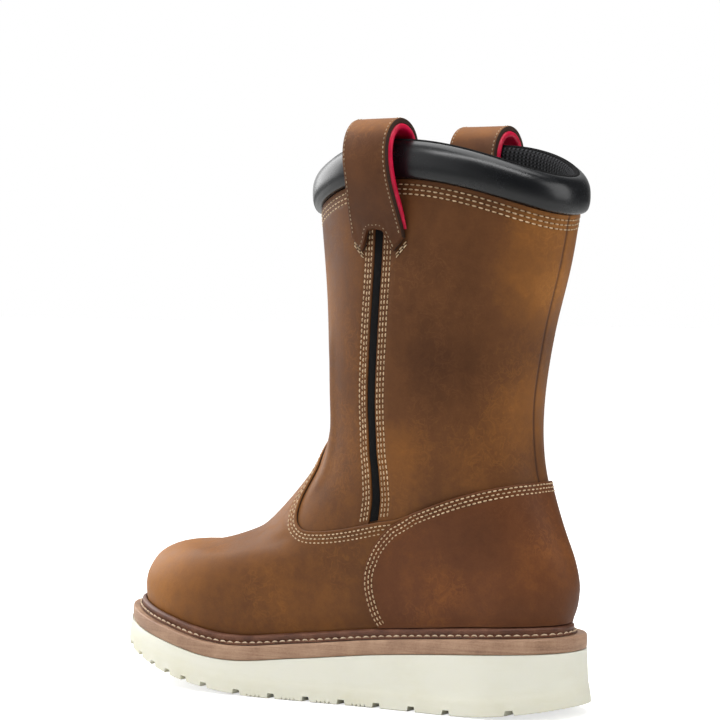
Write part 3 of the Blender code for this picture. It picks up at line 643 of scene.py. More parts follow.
def tone_and_highlight_of(points):
    """Lighter and darker places of the leather, by where they are on the boot: its own tone, with painted
    highlights at the toe top, the instep and the shaft's front and back edges.
    """
    station, height = points[..., 0] + SOLE_LENGTH / 2, points[..., 2]
    tone_and_highlight = np.zeros(points.shape[:-1])
    for row in TONES_AND_HIGHLIGHTS:
        gap = np.hypot(station - row.station * MM, height - row.height * MM) / (row.reach * MM)
        tone_and_highlight = tone_and_highlight + row.amount * np.exp(-(gap**2))
    return tone_and_highlight


# Materials


class Look:
    """One procedural material, with short ways to add its nodes."""

    def __init__(self, name, **values):
        self.material = bpy.data.materials.new(name)
        self.material.use_nodes = True
        self.tree = self.material.node_tree
        self.shader = self.tree.nodes["Principled BSDF"]
        for socket, value in values.items():
            self.shader.inputs[socket.replace("_", " ")].default_value = value
        self.place = self.add("ShaderNodeTexCoord").outputs["Object"]

    def add(self, kind, sockets=(), **settings):
        node = self.tree.nodes.new(kind)
        for name, value in settings.items():
            setattr(node, name, value)
        for socket, value in sockets:
            self.feed(node.inputs[socket], value)
        return node

    def feed(self, socket, value):
        if isinstance(value, bpy.types.NodeSocket):
            self.tree.links.new(value, socket)
        else:
            socket.default_value = value

    def stretched(self, scale):
        return self.add("ShaderNodeMapping", [("Vector", self.place), ("Scale", scale)]).outputs[0]

    def noise(self, size, detail=2.0, roughness=0.5, place=None, distortion=0.0):
        """Clouds whose features are about this size, in metres."""
        sockets = [
            ("Vector", place or self.place),
            ("Scale", 1 / size),
            ("Detail", detail),
            ("Roughness", roughness),
            ("Distortion", distortion),
        ]
        return self.add("ShaderNodeTexNoise", sockets).outputs[0]

    def cells(self, size):
        """Closed cells of about this size, in metres, as the distance to their edges."""
        sockets = [("Vector", self.place), ("Scale", 1 / size)]
        return self.add("ShaderNodeTexVoronoi", sockets, feature="DISTANCE_TO_EDGE").outputs["Distance"]

    def attribute(self, name):
        return self.add("ShaderNodeAttribute", attribute_name=name).outputs["Fac"]

    def math(self, operation, *values):
        return self.add("ShaderNodeMath", list(enumerate(values)), operation=operation).outputs[0]

    def total(self, *terms):
        """Sum of (value, factor) terms."""
        result = self.math("MULTIPLY", *terms[0])
        for value, factor in terms[1:]:
            result = self.math("MULTIPLY_ADD", value, factor, result)
        return result

    def span(self, value, low, high, to_low, to_high):
        sockets = list(enumerate((value, low, high, to_low, to_high)))
        return self.add("ShaderNodeMapRange", sockets).outputs[0]

    def ramp(self, value, stops):
        node = self.add("ShaderNodeValToRGB", [("Fac", value)])
        elements = node.color_ramp.elements
        while len(elements) < len(stops):
            elements.new(1.0)
        for element, (position, rgb) in zip(elements, stops):
            element.position = position
            element.color = (*rgb, 1)
        return node.outputs["Color"]

    def bump(self, height, distance, strength=1.0, under=None):
        sockets = [("Height", height), ("Distance", distance), ("Strength", strength)]
        if under:
            sockets.append(("Normal", under))
        return self.add("ShaderNodeBump", sockets).outputs["Normal"]

    def wear(self, colour=None, roughness=None, normal=None):
        for socket, value in (("Base Color", colour), ("Roughness", roughness), ("Normal", normal)):
            if value is not None:
                self.feed(self.shader.inputs[socket], value)
        return self.material


DARK_BROWN = (0.050, 0.018, 0.0065)
MID_BROWN = (0.118, 0.046, 0.0155)
WARM_BROWN = (0.225, 0.087, 0.020)
TAN = (0.43, 0.175, 0.036)


def leather(name, shift=0.0, tint=(1.0, 1.0, 1.0)):
    """Oiled brown leather: clouds of lighter pull-up, fine mottling, a close grain."""
    look = Look(name, Specular_IOR_Level=0.13)
    clouds = look.noise(60 * MM, 3, 0.55)
    streaks = look.noise(22 * MM, 5, 0.60, place=look.stretched((1.0, 1.0, 0.7)), distortion=0.5)
    mottle = look.noise(6 * MM, 5, 0.62)
    speck = look.noise(1.1 * MM, 3, 0.6)
    crinkle = look.math("ABSOLUTE", look.math("SUBTRACT", look.noise(7 * MM, 3, 0.5, distortion=1.4), 0.5))
    patches = look.span(look.noise(38 * MM, 2, 0.5), 0.46, 0.62, 0.0, 1.0)
    pulled = look.math("MULTIPLY", look.span(crinkle, 0.0, 0.05, 1.0, 0.0), patches)
    # The per-point tone field adds the leather's own lighter and darker places and painted highlights at the
    # toe, instep and shaft edges
    value = look.total(
        (clouds, 0.20),
        (streaks, 0.15),
        (mottle, 0.13),
        (speck, 0.06),
        (pulled, 0.055),
        (look.attribute("tone_and_highlight"), 1.0),
    )
    value = look.math("ADD", value, 0.265 + shift)
    browns = [(0.34, DARK_BROWN), (0.54, MID_BROWN), (0.70, WARM_BROWN), (0.92, TAN)]
    stops = [(place, tuple(np.multiply(brown, tint))) for place, brown in browns]
    colour = look.ramp(value, stops)
    rough = look.span(look.total((mottle, 0.6), (streaks, 0.4)), 0.3, 0.7, 0.42, 0.60)
    grain = look.bump(look.cells(1.3 * MM), 0.10 * MM, 0.30)
    pores = look.bump(speck, 0.16 * MM, 0.30, grain)
    wrinkles = look.bump(look.noise(4 * MM, 4, 0.6, distortion=0.8), 0.30 * MM, 0.25, pores)
    return look.wear(colour, rough, look.bump(pulled, 0.10 * MM, 0.25, wrinkles))


def cut_leather(name):
    """The dark raw edge of a leather panel."""
    look = Look(name, Specular_IOR_Level=0.25)
    fibre = look.noise(0.5 * MM, 4, 0.6)
    stops = [(0.35, (0.018, 0.009, 0.005)), (0.7, (0.052, 0.024, 0.012))]
    rough = look.span(fibre, 0, 1, 0.6, 0.85)
    return look.wear(look.ramp(fibre, stops), rough, look.bump(fibre, 0.15 * MM, 0.5))


def trimmed_edge(name):
    """Stained edge of the midsole: fine lines along the layers, paler rubbed places."""
    look = Look(name, Specular_IOR_Level=0.35)
    layers = look.noise(4 * MM, 5, 0.7, place=look.stretched((0.10, 0.10, 3.5)))
    patches = look.noise(14 * MM, 4, 0.6)
    fibre = look.noise(0.9 * MM, 4, 0.65)
    value = look.total((layers, 0.40), (patches, 0.40), (fibre, 0.2))
    stops = [(0.36, (0.21, 0.113, 0.068)), (0.50, (0.345, 0.205, 0.128)), (0.66, (0.48, 0.315, 0.208))]
    rough = look.span(patches, 0.3, 0.7, 0.45, 0.62)
    lines = look.bump(layers, 0.25 * MM, 0.45)
    return look.wear(look.ramp(value, stops), rough, look.bump(fibre, 0.1 * MM, 0.35, lines))


def welt_leather(name):
    """Dark reddish welt with a waxed sheen and paler rubbed patches."""
    look = Look(name, Specular_IOR_Level=0.3)
    rubbed = look.noise(7 * MM, 5, 0.65, place=look.stretched((0.6, 0.6, 1.4)))
    fibre = look.noise(0.8 * MM, 3, 0.6)
    value = look.total((rubbed, 0.75), (fibre, 0.25))
    stops = [(0.35, (0.075, 0.027, 0.014)), (0.52, (0.135, 0.053, 0.029)), (0.68, (0.23, 0.108, 0.064))]
    rough = look.span(rubbed, 0.3, 0.7, 0.34, 0.52)
    return look.wear(look.ramp(value, stops), rough, look.bump(fibre, 0.12 * MM, 0.4))


def foam_rubber(name):
    """Ivory foam rubber, a shade yellower in the tread layer, with a faint moulded skin."""
    look = Look(name, Specular_IOR_Level=0.35, Subsurface_Weight=0.15, Subsurface_Scale=0.005)
    look.shader.inputs["Subsurface Radius"].default_value = (1.0, 0.9, 0.6)
    clouds = look.noise(30 * MM, 3, 0.5)
    skin = look.noise(0.9 * MM, 4, 0.6)
    scuffs = look.noise(6 * MM, 6, 0.7, place=look.stretched((0.5, 0.5, 2.0)), distortion=0.5)
    value = look.total((clouds, 0.5), (scuffs, 0.30), (look.attribute("tread"), -0.16))
    stops = [(0.05, (0.67, 0.645, 0.50)), (0.24, (0.72, 0.705, 0.59)), (0.42, (0.75, 0.74, 0.64))]
    rough = look.span(scuffs, 0.3, 0.7, 0.48, 0.66)
    return look.wear(look.ramp(value, stops), rough, look.bump(skin, 0.12 * MM, 0.3))


def collar_leather(name):
    """Smooth black collar leather with a fine pebble."""
    look = Look(name, Specular_IOR_Level=0.45)
    pebble = look.cells(0.9 * MM)
    soft = look.noise(12 * MM, 3, 0.5)
    fine = look.noise(0.6 * MM, 3, 0.6)
    stops = [(0.3, (0.0025, 0.003, 0.0038)), (0.7, (0.005, 0.0056, 0.0068))]
    rough = look.span(look.total((soft, 0.6), (fine, 0.4)), 0.3, 0.7, 0.23, 0.29)
    normal = look.bump(soft, 0.3 * MM, 0.2, look.bump(pebble, 0.02 * MM, 0.15))
    return look.wear(look.ramp(soft, stops), rough, normal)


def mesh_cloth(name, rib, row, raised):
    """Black knitted cloth: ribs up the shaft crossed by fine rows, in a raised colour over deep black."""
    look = Look(name, Specular_IOR_Level=0.1)
    ribs = look.math("SINE", look.math("MULTIPLY", look.attribute("around"), 2 * math.pi / rib))
    rows = look.math("SINE", look.math("MULTIPLY", look.attribute("along"), 2 * math.pi / row))
    knit = look.math("MULTIPLY_ADD", look.math("MULTIPLY", ribs, rows), 0.5, look.math("MULTIPLY", ribs, 0.6))
    fuzz = look.noise(0.4 * MM, 2, 0.6)
    value = look.total((knit, 0.28), (fuzz, 0.5))
    stops = [(0.05, (0.0015, 0.0015, 0.0015)), (0.5, raised)]
    return look.wear(
        look.ramp(value, stops), look.span(fuzz, 0, 1, 0.7, 0.95), look.bump(knit, 0.5 * MM, 0.8)
    )


def crimson(name):
    """Smooth crimson lining leather, a little glossy."""
    look = Look(name, Specular_IOR_Level=0.25)
    soft = look.noise(8 * MM, 3, 0.5)
    fine = look.noise(0.8 * MM, 3, 0.6)
    stops = [(0.35, (0.42, 0.002, 0.028)), (0.65, (0.60, 0.005, 0.050))]
    rough = look.span(fine, 0.3, 0.7, 0.30, 0.44)
    return look.wear(look.ramp(soft, stops), rough, look.bump(fine, 0.08 * MM, 0.3))


def thread(name, dark, light):
    """Waxed thread, twisted, with a little change of colour from stitch to stitch."""
    look = Look(name, Specular_IOR_Level=0.35)
    change = look.noise(3 * MM, 2, 0.6)
    twist = look.noise(0.35 * MM, 2, 0.5)
    value = look.total((change, 0.7), (twist, 0.3))
    return look.wear(
        look.ramp(value, [(0.35, dark), (0.62, light)]),
        look.span(twist, 0, 1, 0.45, 0.7),
        look.bump(twist, 0.15 * MM, 0.5),
    )


def footbed_cloth(name):
    """Black woven cloth of the footbed."""
    look = Look(name, Specular_IOR_Level=0.2)
    weave = look.cells(1.2 * MM)
    fuzz = look.noise(0.5 * MM, 3, 0.6)
    value = look.total((weave, 0.6), (fuzz, 0.5))
    stops = [(0.2, (0.006, 0.006, 0.007)), (0.7, (0.022, 0.022, 0.024))]
    rough = look.span(fuzz, 0, 1, 0.75, 0.95)
    return look.wear(look.ramp(value, stops), rough, look.bump(weave, 0.3 * MM, 0.5))


UPPER_LEATHER = leather("upper_leather")
COUNTER_LEATHER = leather("counter_leather", -0.03, (1.02, 0.92, 1.0))
STRAP_SKIN = leather("strap_leather", -0.05, (1.0, 1.0, 1.12))
CUT_EDGES = cut_leather("cut_edge")
MIDSOLE_EDGE = trimmed_edge("midsole_edge")
WELT_BROWN = welt_leather("welt_leather")
FOAM = foam_rubber("foam_rubber")
COLLAR_BLACK = collar_leather("collar_leather")
LINING_MESH = mesh_cloth("lining_mesh", 1.9 * MM, 1.9 * MM, (0.040, 0.041, 0.044))
STRIP_CLOTH = mesh_cloth("strip_cloth", 0.8 * MM, 0.9 * MM, (0.013, 0.0125, 0.013))
RED = crimson("crimson_lining")
CREAM_THREAD = thread("cream_thread", (0.34, 0.22, 0.115), (0.70, 0.53, 0.335))
STRAP_CREAM = thread("strap_thread", (0.16, 0.105, 0.058), (0.46, 0.34, 0.215))
WELT_CREAM = thread("welt_thread", (0.46, 0.33, 0.21), (0.72, 0.57, 0.40))
# Painted shade of the needle holes, in the dark cut-edge colour
NEEDLE_HOLE_SHADE = cut_leather("needle_hole_shade")
FOOTBED = footbed_cloth("footbed_cloth")


# Meshes


def placed(name, data):
    """A new object in the scene."""
    made = bpy.data.objects.new(name, data)
    bpy.context.scene.collection.objects.link(made)
    return made


def finish_piece(name, points, faces, materials, replaces=(), indices=None, fields=None, sharp=38):
    """One mesh riding on the boot, with its faces turned outward."""
    corners = points[faces]
    fan = np.cross(corners[:, 1] - corners[:, 0], corners[:, 2] - corners[:, 0])
    fan = fan + np.cross(corners[:, 2] - corners[:, 0], corners[:, 3] - corners[:, 0])
    if (fan * (corners[:, 0] - points.mean(axis=0))).sum() < 0:
        faces = faces[:, ::-1]
    mesh = bpy.data.meshes.new(name)
    mesh.from_pydata(points.tolist(), [], faces.tolist())
    for look in materials:
        mesh.materials.append(look)
    if indices is not None:
        mesh.polygons.foreach_set("material_index", np.asarray(indices, np.int32))
    for field, values in (fields or {}).items():
        layer = mesh.attributes.new(field, "FLOAT", "POINT")
        layer.data.foreach_set("value", np.asarray(values, np.float32).ravel())
    mesh.shade_smooth()
    mesh.set_sharp_from_angle(angle=math.radians(sharp))
    mesh.update()
    made = placed(name, mesh)
    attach(made, "root")
    if replaces:
        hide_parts(*replaces)
    return made


def lofted(
    name, loops, materials, replaces=(), ring=False, parts=None, fields=None, sharp=38, lid_part=0
):
    """A closed solid through loops of equal length.  parts gives a material to each step of the loops."""
    loops = np.asarray(loops, float)
    count, size = loops.shape[:2]
    i = np.arange(count if ring else count - 1)[:, None]
    j = np.arange(size)[None, :]
    here, there, k = i * size, (i + 1) % count * size, (j + 1) % size
    faces = np.stack([here + j, here + k, there + k, there + j], -1).reshape(-1, 4)
    indices = np.broadcast_to(np.zeros(size, int) if parts is None else parts, (len(i), size)).ravel()
    if not ring:
        j = np.arange(size // 2 - 1)
        lid = np.stack([j, j + 1, size - 2 - j, size - 1 - j], -1)
        faces = np.concatenate([faces, lid[:, ::-1], lid + (count - 1) * size])
        indices = np.concatenate([indices, np.full(2 * len(lid), lid_part)])
    return finish_piece(
        name, loops.reshape(-1, 3), faces, materials, replaces, indices, fields, sharp
    )


def stitch_faces():
    """Faces of one stitch: its sides step by step, then its two six-sided ends."""
    ring = np.arange(STITCH_SIDES)
    steps = np.arange(STITCH_STEPS - 1)[:, None] * STITCH_SIDES
    here, there = steps + ring, steps + np.roll(ring, -1)
    sides = np.stack([here, there, there + STITCH_SIDES, here + STITCH_SIDES], -1).reshape(-1, 4)
    end = np.array([[0, 1, 2, 3], [3, 4, 5, 0]])
    return np.concatenate([sides, end, end + (STITCH_STEPS - 1) * STITCH_SIDES])


def sewn(name, runs, kind, look, phase=0.0):
    """Stitches along lines: each is a short rounded thread whose two ends dip into the leather."""
    along = np.linspace(0, 1, STITCH_STEPS)
    arch = np.sin(along * math.pi) ** 0.6
    turn = np.linspace(0, 2 * math.pi, STITCH_SIDES, endpoint=False)
    size = STITCH_STEPS * STITCH_SIDES
    one = stitch_faces()
    points, faces, first = [], [], 0
    for line, normals in runs:
        steps = np.linalg.norm(np.diff(line, axis=0), axis=1)
        length = np.concatenate([[0], np.cumsum(steps)])
        count = int(length[-1] / kind.pitch)
        if count < 1:
            continue
        pitch = length[-1] / count
        starts = (np.arange(count) + phase + (1 - kind.cover) / 2) * pitch
        where = starts[:, None] + along[None, :] * kind.cover * pitch
        at = np.stack([np.interp(where, length, line[:, k]) for k in range(3)], -1)
        out = unit(np.stack([np.interp(where, length, normals[:, k]) for k in range(3)], -1))
        ahead = unit(np.gradient(at, axis=1))
        aside = unit(np.cross(out, ahead))
        at = at + out * (kind.radius * (arch - 0.75) - kind.sink)[None, :, None]
        radius = kind.radius * (0.45 + 0.55 * arch)
        circle = np.cos(turn)[:, None] * aside[:, :, None] + np.sin(turn)[:, None] * out[:, :, None]
        body = at[:, :, None] + circle * radius[None, :, None, None]
        points.append(body.reshape(-1, 3))
        bases = first + np.arange(count) * size
        faces.append((bases[:, None, None] + one).reshape(-1, 4))
        first += count * size
    return finish_piece(name, np.concatenate(points), np.concatenate(faces), [look], sharp=70)


def stitched(name, runs, kind, look=CREAM_THREAD):
    """Rows of stitches with a needle hole in each gap, its shade painted as a dark sunk mark in the cut-edge
    colour.
    """
    sewn(name, runs, kind, look)
    hole = kind._replace(cover=HOLE_COVER, radius=kind.radius * HOLE_SIZE, sink=kind.sink + HOLE_SINK)
    sewn(name + "_hole_shade", runs, hole, NEEDLE_HOLE_SHADE, 0.5)


def along_skin(angles, levels, lift):
    """A line on the leather and its outward directions."""
    return skin_point(angles, levels, lift), upper_normal(angles, levels)


def beside(angles, levels, distance, turn):
    """A line on the upper moved sideways along its face, to the right of its run for turn 1."""
    angles, levels = np.array(angles, float), np.array(levels, float)
    steps = 4
    for _ in range(steps):
        around, upward = slopes_at(angles, levels)
        ahead = np.gradient(upper_point(angles, levels), axis=0)
        aside = unit(np.cross(upper_normal(angles, levels), ahead)) * (turn * distance / steps)
        aa, au, uu = ((p * q).sum(-1) for p, q in ((around, around), (around, upward), (upward, upward)))
        da, du = ((aside * p).sum(-1) for p in (around, upward))
        size = aa * uu - au * au
        angles = angles + (da * uu - du * au) / size
        levels = np.clip(levels + (du * aa - da * au) / size, 0, TOP_LEVEL)
    return angles, levels


def plan_normals(points):
    ahead = np.roll(points, -1, axis=0) - np.roll(points, 1, axis=0)
    return unit(np.stack([-ahead[:, 1], ahead[:, 0], np.zeros(len(points))], -1))


# Sole


def groove_cuts():
    """Depth of the tread's cuts by station: bars, and ticks between the middle bars."""
    cuts = {}
    for groove in [HEEL_GROOVE] + ARCH_GROOVES + TOE_GROOVES:
        cuts[groove * MM] = (GROOVE_WIDTH, GROOVE_DEPTH)
    for bar in TICKED_BARS:
        middle = (ARCH_GROOVES[bar] + ARCH_GROOVES[bar + 1]) / 2
        for tick in range(TICKS_PER_BAR):
            place = middle + (tick - (TICKS_PER_BAR - 1) / 2) * TICK_PITCH
            cuts[place * MM] = (TICK_WIDTH, TICK_DEPTH)
    return cuts


def outline_shares():
    """Shares along the sole, closer together at the heel and the toe."""
    turn = np.linspace(OUTLINE_END, math.pi - OUTLINE_END, OUTLINE_POINTS)
    return (1 - np.cos(turn)) / 2


def tread_stations():
    """Stations along the sole with the depth of the cut at each."""
    rows = {s: 0.0 for s in SOLE_LENGTH * outline_shares()}
    for place, (width, depth) in groove_cuts().items():
        taper = min(GROOVE_TAPER, width / 4)
        rows = {s: cut for s, cut in rows.items() if abs(s - place) >= width / 2 + CUT_CLEAR}
        for edge in (-1, 1):
            rows[place + edge * width / 2] = 0.0
            rows[place + edge * (width / 2 - taper)] = depth
    stations = np.array(sorted(rows))
    return stations, np.array([rows[s] for s in stations])


def ring_of(stations, outline, height):
    """A closed loop round the sole at stations of an outline, medial side forward and lateral side back."""
    x = stations - SOLE_LENGTH / 2
    sides = [np.stack([x, read_outline(outline, stations, s), height], -1) for s in (MEDIAL, LATERAL)]
    return np.concatenate([sides[0], sides[1][::-1]])


def build_outsole():
    """Wedge with a rounded foot edge, a soft step over the tread layer, bars and ticks cut across it."""
    stations, cuts = tread_stations()
    share = stations / SOLE_LENGTH
    floor = wedge_bottom(stations)
    bottom = floor + cuts
    # Each row: how far it is drawn in, its height, and its share of the tread's yellower tint
    rows = [(FOOT_INSET, bottom, 1.0), (FOOT_EDGE_INSET, np.maximum(bottom, floor + FOOT_ROUND), 1.0)]
    for up in TREAD_ROW_SHARES:
        height = np.maximum(floor + TREAD_LAYER * up, bottom + TREAD_ROW_CLEAR)
        rows.append((TREAD_LAYER_FLARE * up, height, 0.9))
    rows.append((TREAD_LAYER_FLARE + 0.2 * TREAD_LAYER_STEP, floor + TREAD_LAYER, 0.8))
    rows.append((TREAD_LAYER_FLARE + 0.7 * TREAD_LAYER_STEP, floor + TREAD_LAYER + TREAD_EASE / 2, 0.5))
    inner = TREAD_LAYER_FLARE + TREAD_LAYER_STEP
    layer = floor + TREAD_LAYER + TREAD_EASE
    for up in SIDE_ROW_SHARES:
        inset = inner + (SOLE_FLARE - inner) * up
        top_station = inset + (SOLE_LENGTH - 2 * inset) * share
        rows.append((inset, layer + (wedge_top(top_station) - layer) * up, 0.0))
    top = wedge_top(SOLE_FLARE + (SOLE_LENGTH - 2 * SOLE_FLARE) * share)
    rows.append((SOLE_FLARE + WEDGE_TOP_DRAW, top, 0.0))
    loops = []
    for inset, height, _ in rows:
        moved = inset + (SOLE_LENGTH - 2 * inset) * share
        loops.append(ring_of(moved, inset_outline(inset), height))
    tread = np.repeat([row[2] for row in rows], len(loops[0]))
    return lofted("wedge_sole", loops, [FOAM], ["outsole"], fields={"tread": tread}, sharp=32)


def build_midsole():
    """Leather midsole with softly rounded edges and a slightly bowed side."""
    loops = []
    for row in MIDSOLE_SIDE:
        inset = SOLE_FLARE + row.draw * MM
        stations = inset + (SOLE_LENGTH - 2 * inset) * outline_shares()
        low, high = midsole_bottom(stations), midsole_top(stations)
        loops.append(ring_of(stations, inset_outline(inset), low + (high - low) * row.up))
    return lofted("midsole_leather", loops, [MIDSOLE_EDGE], ["midsole"])


def welt_line(angles):
    """Foot of the upper, its direction outward in plan, and how far its bead flares."""
    foot = upper_point(angles, 0.0)
    top = np.array([upper_point(a, bead_level(a, BEAD_HEIGHT)) for a in angles])
    out = plan_normals(foot)
    return foot, out, np.maximum(((top - foot) * out).sum(axis=1), 0)


def welt_point(foot, out, angles, outward, up):
    """Points beside the foot of the upper, at a height over the midsole."""
    p = foot + out * (vamp_thickness(angles) + FIT_GAP + outward)[:, None]
    floor = midsole_top(np.clip(p[:, 0] + SOLE_LENGTH / 2, 0, SOLE_LENGTH)) + FIT_GAP
    return np.stack([p[:, 0], p[:, 1], floor + up], -1)


def build_welt(angles):
    """Storm welt: a rounded bead against the upper and a flange with a row of heavy stitches."""
    foot, out, flare = welt_line(angles)
    rows = [welt_point(foot, out, angles, r.outward * MM + flare * r.flare, r.up * MM) for r in WELT_PROFILE]
    lofted("welt_bead", np.stack(rows, 1), [WELT_BROWN], ["storm_welt"], ring=True)
    line = welt_point(foot, out, angles, WELT_ROW_OUT, WELT_ROW_UP)
    line = np.concatenate([line, line[:1]])
    normals = unit(np.concatenate([out, out[:1]]) * WELT_ROW_LEAN + UP)
    sewn("welt_stitches", [(line, normals)], WELT_THREAD, WELT_CREAM)


# Upper

GROOVE_HALF = STRIP_WIDTH / 2 + STRIP_SLOPE
STRIP_REACH = GROOVE_HALF + max(STRIP_ROWS) + ROW_COLUMN
Column = namedtuple("Column", "kind place sunk edge")


def half_columns():
    """Columns of one side from the back to the front, closer together at the seams."""
    near = sorted({SEAM_COLUMN, *STRIP_ROWS, *(r + ROW_COLUMN for r in STRIP_ROWS)})
    back = BACK_SEAM_COLUMNS + list(np.linspace(BACK_START, BACK_END, BACK_COLUMNS))
    front = np.linspace(0, FRONT_END, FRONT_COLUMNS + 1)[1:]
    columns = [Column("back", t, 0, 1.0) for t in back]
    columns += [Column("strip", -GROOVE_HALF - d, 0, d) for d in reversed(near)]
    columns += [Column("strip", -GROOVE_HALF, GROOVE_LIP, 0), Column("strip", -STRIP_WIDTH / 2, 1, 0)]
    columns += [Column("strip", STRIP_WIDTH / 2, 1, 0), Column("strip", GROOVE_HALF, GROOVE_LIP, 0)]
    columns += [Column("strip", GROOVE_HALF + d, 0, d) for d in near]
    columns += [Column("front", t, 0, 1.0) for t in reversed(front)]
    return columns


def column_angle(column, level):
    """Angle of a column at a level.  Plain columns share out the room between the seams."""
    if column.kind == "strip":
        return strip_angle(level, column.place)
    if column.kind == "back":
        return column.place / BACK_LIMIT * strip_angle(level, -STRIP_REACH)
    return math.pi - column.place / FRONT_LIMIT * (math.pi - strip_angle(level, STRIP_REACH))


def column_rows(column):
    """Levels of a column's outer face, distances below the vamp's edge and the top, and what is vamp."""
    edge = STRIP_LINE[0].level
    for _ in range(4):
        edge = float(vamp_level(column_angle(column, edge)))
    angle = float(column_angle(column, edge))
    around, upward = slopes_at(angle, edge)
    nudge = 0.01
    slope = float(vamp_level(angle + nudge) - vamp_level(angle - nudge)) / (2 * nudge)
    slope *= np.linalg.norm(upward) / np.linalg.norm(around)
    per_level = np.linalg.norm(upward) / math.sqrt(1 + slope * slope)
    per_top = np.linalg.norm(slopes_at(angle, TOP_LEVEL - 0.1)[1])
    foot = np.linspace(0, edge - VAMP_BAND / per_level, FOOT_ROWS)
    vamp = edge - np.array(VAMP_BAND_ROWS[::-1]) * MM / per_level
    step = edge + np.array(STEP_ROWS) * MM / per_level
    top = TOP_LEVEL - np.array(TOP_BAND_ROWS) * MM / per_top
    shaft = np.linspace(step[-1], top[0], SHAFT_ROWS + 2)[1:-1]
    levels = np.concatenate([foot, vamp, step, shaft, top])
    on_vamp = np.arange(len(levels)) < len(foot) + len(vamp)
    below_edge = np.where(on_vamp, (edge - levels) * per_level, 1.0)
    below_top = (TOP_LEVEL - levels) * per_top
    return levels, below_edge, below_top, on_vamp


def build_upper():
    """One hollow wall: vamp with a cut edge, shaft with two strip grooves and a back seam, mesh inside."""
    half = half_columns()
    columns = [(c, MEDIAL) for c in half + [Column("front", 0, 0, 1.0)]]
    columns += [(c, LATERAL) for c in reversed(half[1:])]
    loops, tone_and_highlights, arounds = [], [], []
    for column, side in columns:
        levels, below_edge, below_top, on_vamp = column_rows(column)
        angles = on_side(column_angle(column, levels), side)
        from_back = degrees_from_back(angles)
        thickness = vamp_thickness(angles) * (0.5 + 0.5 * edge_round(below_edge))
        thickness = thickness + pucker(below_edge, VAMP_ROWS) * ease(*VAMP_PUCKER_ANGLES, from_back)
        shaft = pucker(below_top, COLLAR_ROWS) - column.sunk * STRIP_GROOVE
        if column.kind == "strip" and column.edge > 0:
            shaft = shaft + pucker(column.edge, STRIP_ROWS)
        from_seam = np.radians(from_back) * BACK_RADIUS
        seam = np.where(on_vamp, 0, np.exp(-((from_seam / SEAM_WIDTH) ** 2)))
        shaft = shaft - SEAM_DEPTH * seam
        outer = skin_point(angles, levels, np.where(on_vamp, thickness, shaft))
        down = np.linspace(TOP_LEVEL, 0, LINING_ROWS)
        inner_angles = on_side(column_angle(column, down), side)
        inner = upper_point(inner_angles, down) - upper_normal(inner_angles, down) * WALL
        outer[0, 2] = upper_point(angles[0], 0.0)[2]
        inner[-1, 2] = outer[0, 2]
        loops.append(np.concatenate([outer, inner]))
        # Leather tone per point, with painted highlights at the toe, instep and shaft edges; darker along the
        # back seam
        tone_and_highlights.append(tone_and_highlight_of(loops[-1]))
        tone_and_highlights[-1][:len(levels)] -= SEAM_DARK * seam
        arounds.append(np.concatenate([angles, inner_angles]) * SHAFT_RADIUS)
    loops = np.array(loops)
    count = len(levels)
    parts = np.zeros(loops.shape[1], int)
    parts[int(on_vamp.sum()) - 1] = 1
    parts[count:-1] = 2
    fields = {"tone_and_highlight": tone_and_highlights, "around": arounds, "along": loops[..., 2]}
    looks = [UPPER_LEATHER, CUT_EDGES, LINING_MESH]
    lofted("leather_upper", loops, looks, ["upper"], True, parts, fields)


def build_vamp_stitches():
    """Three rows along the vamp's edge, from the counter's front on one side to that on the other."""
    angles = np.radians(np.linspace(*VAMP_ROW_ANGLES, 420))
    runs = []
    for distance in VAMP_ROWS:
        a, v = beside(angles, vamp_level(angles), distance, 1)
        front = counter_degrees(np.clip(v / top_level(a), 0, 1))
        clear = degrees_from_back(a) > front + VAMP_ROW_CLEAR
        runs.append(along_skin(a[clear], v[clear], vamp_thickness(a[clear]) - STITCH_SEAT))
    stitched("vamp_stitches", runs, PANEL_THREAD)


def strip_foot(across):
    """Level of the vamp's edge beside the strip's middle."""
    return float(vamp_level(strip_angle(STRIP_FOOT_LEVEL, across)))


def build_shaft_stitches():
    """Three rows beside each edge of both strips, and three below the collar."""
    runs = []
    for side in (MEDIAL, LATERAL):
        for edge in (-1, 1):
            for distance in STRIP_ROWS:
                across = edge * (GROOVE_HALF + distance)
                start = strip_foot(across) + STRIP_ROW_FOOT
                levels = np.linspace(start, TOP_LEVEL - STRIP_ROW_HEAD, 160)
                runs.append(along_skin(on_side(strip_angle(levels, across), side), levels, -STITCH_SEAT))
    stitched("strip_stitches", runs, PANEL_THREAD)
    angles = np.linspace(0, 2 * math.pi, 421)
    runs = []
    for distance in COLLAR_ROWS:
        a, v = beside(angles, np.full(len(angles), float(TOP_LEVEL)), distance, 1)
        runs.append(along_skin(a, v, -STITCH_SEAT))
    stitched("collar_stitches", runs, COLLAR_THREAD)


def counter_lift(angles):
    return vamp_thickness(angles) + FIT_GAP


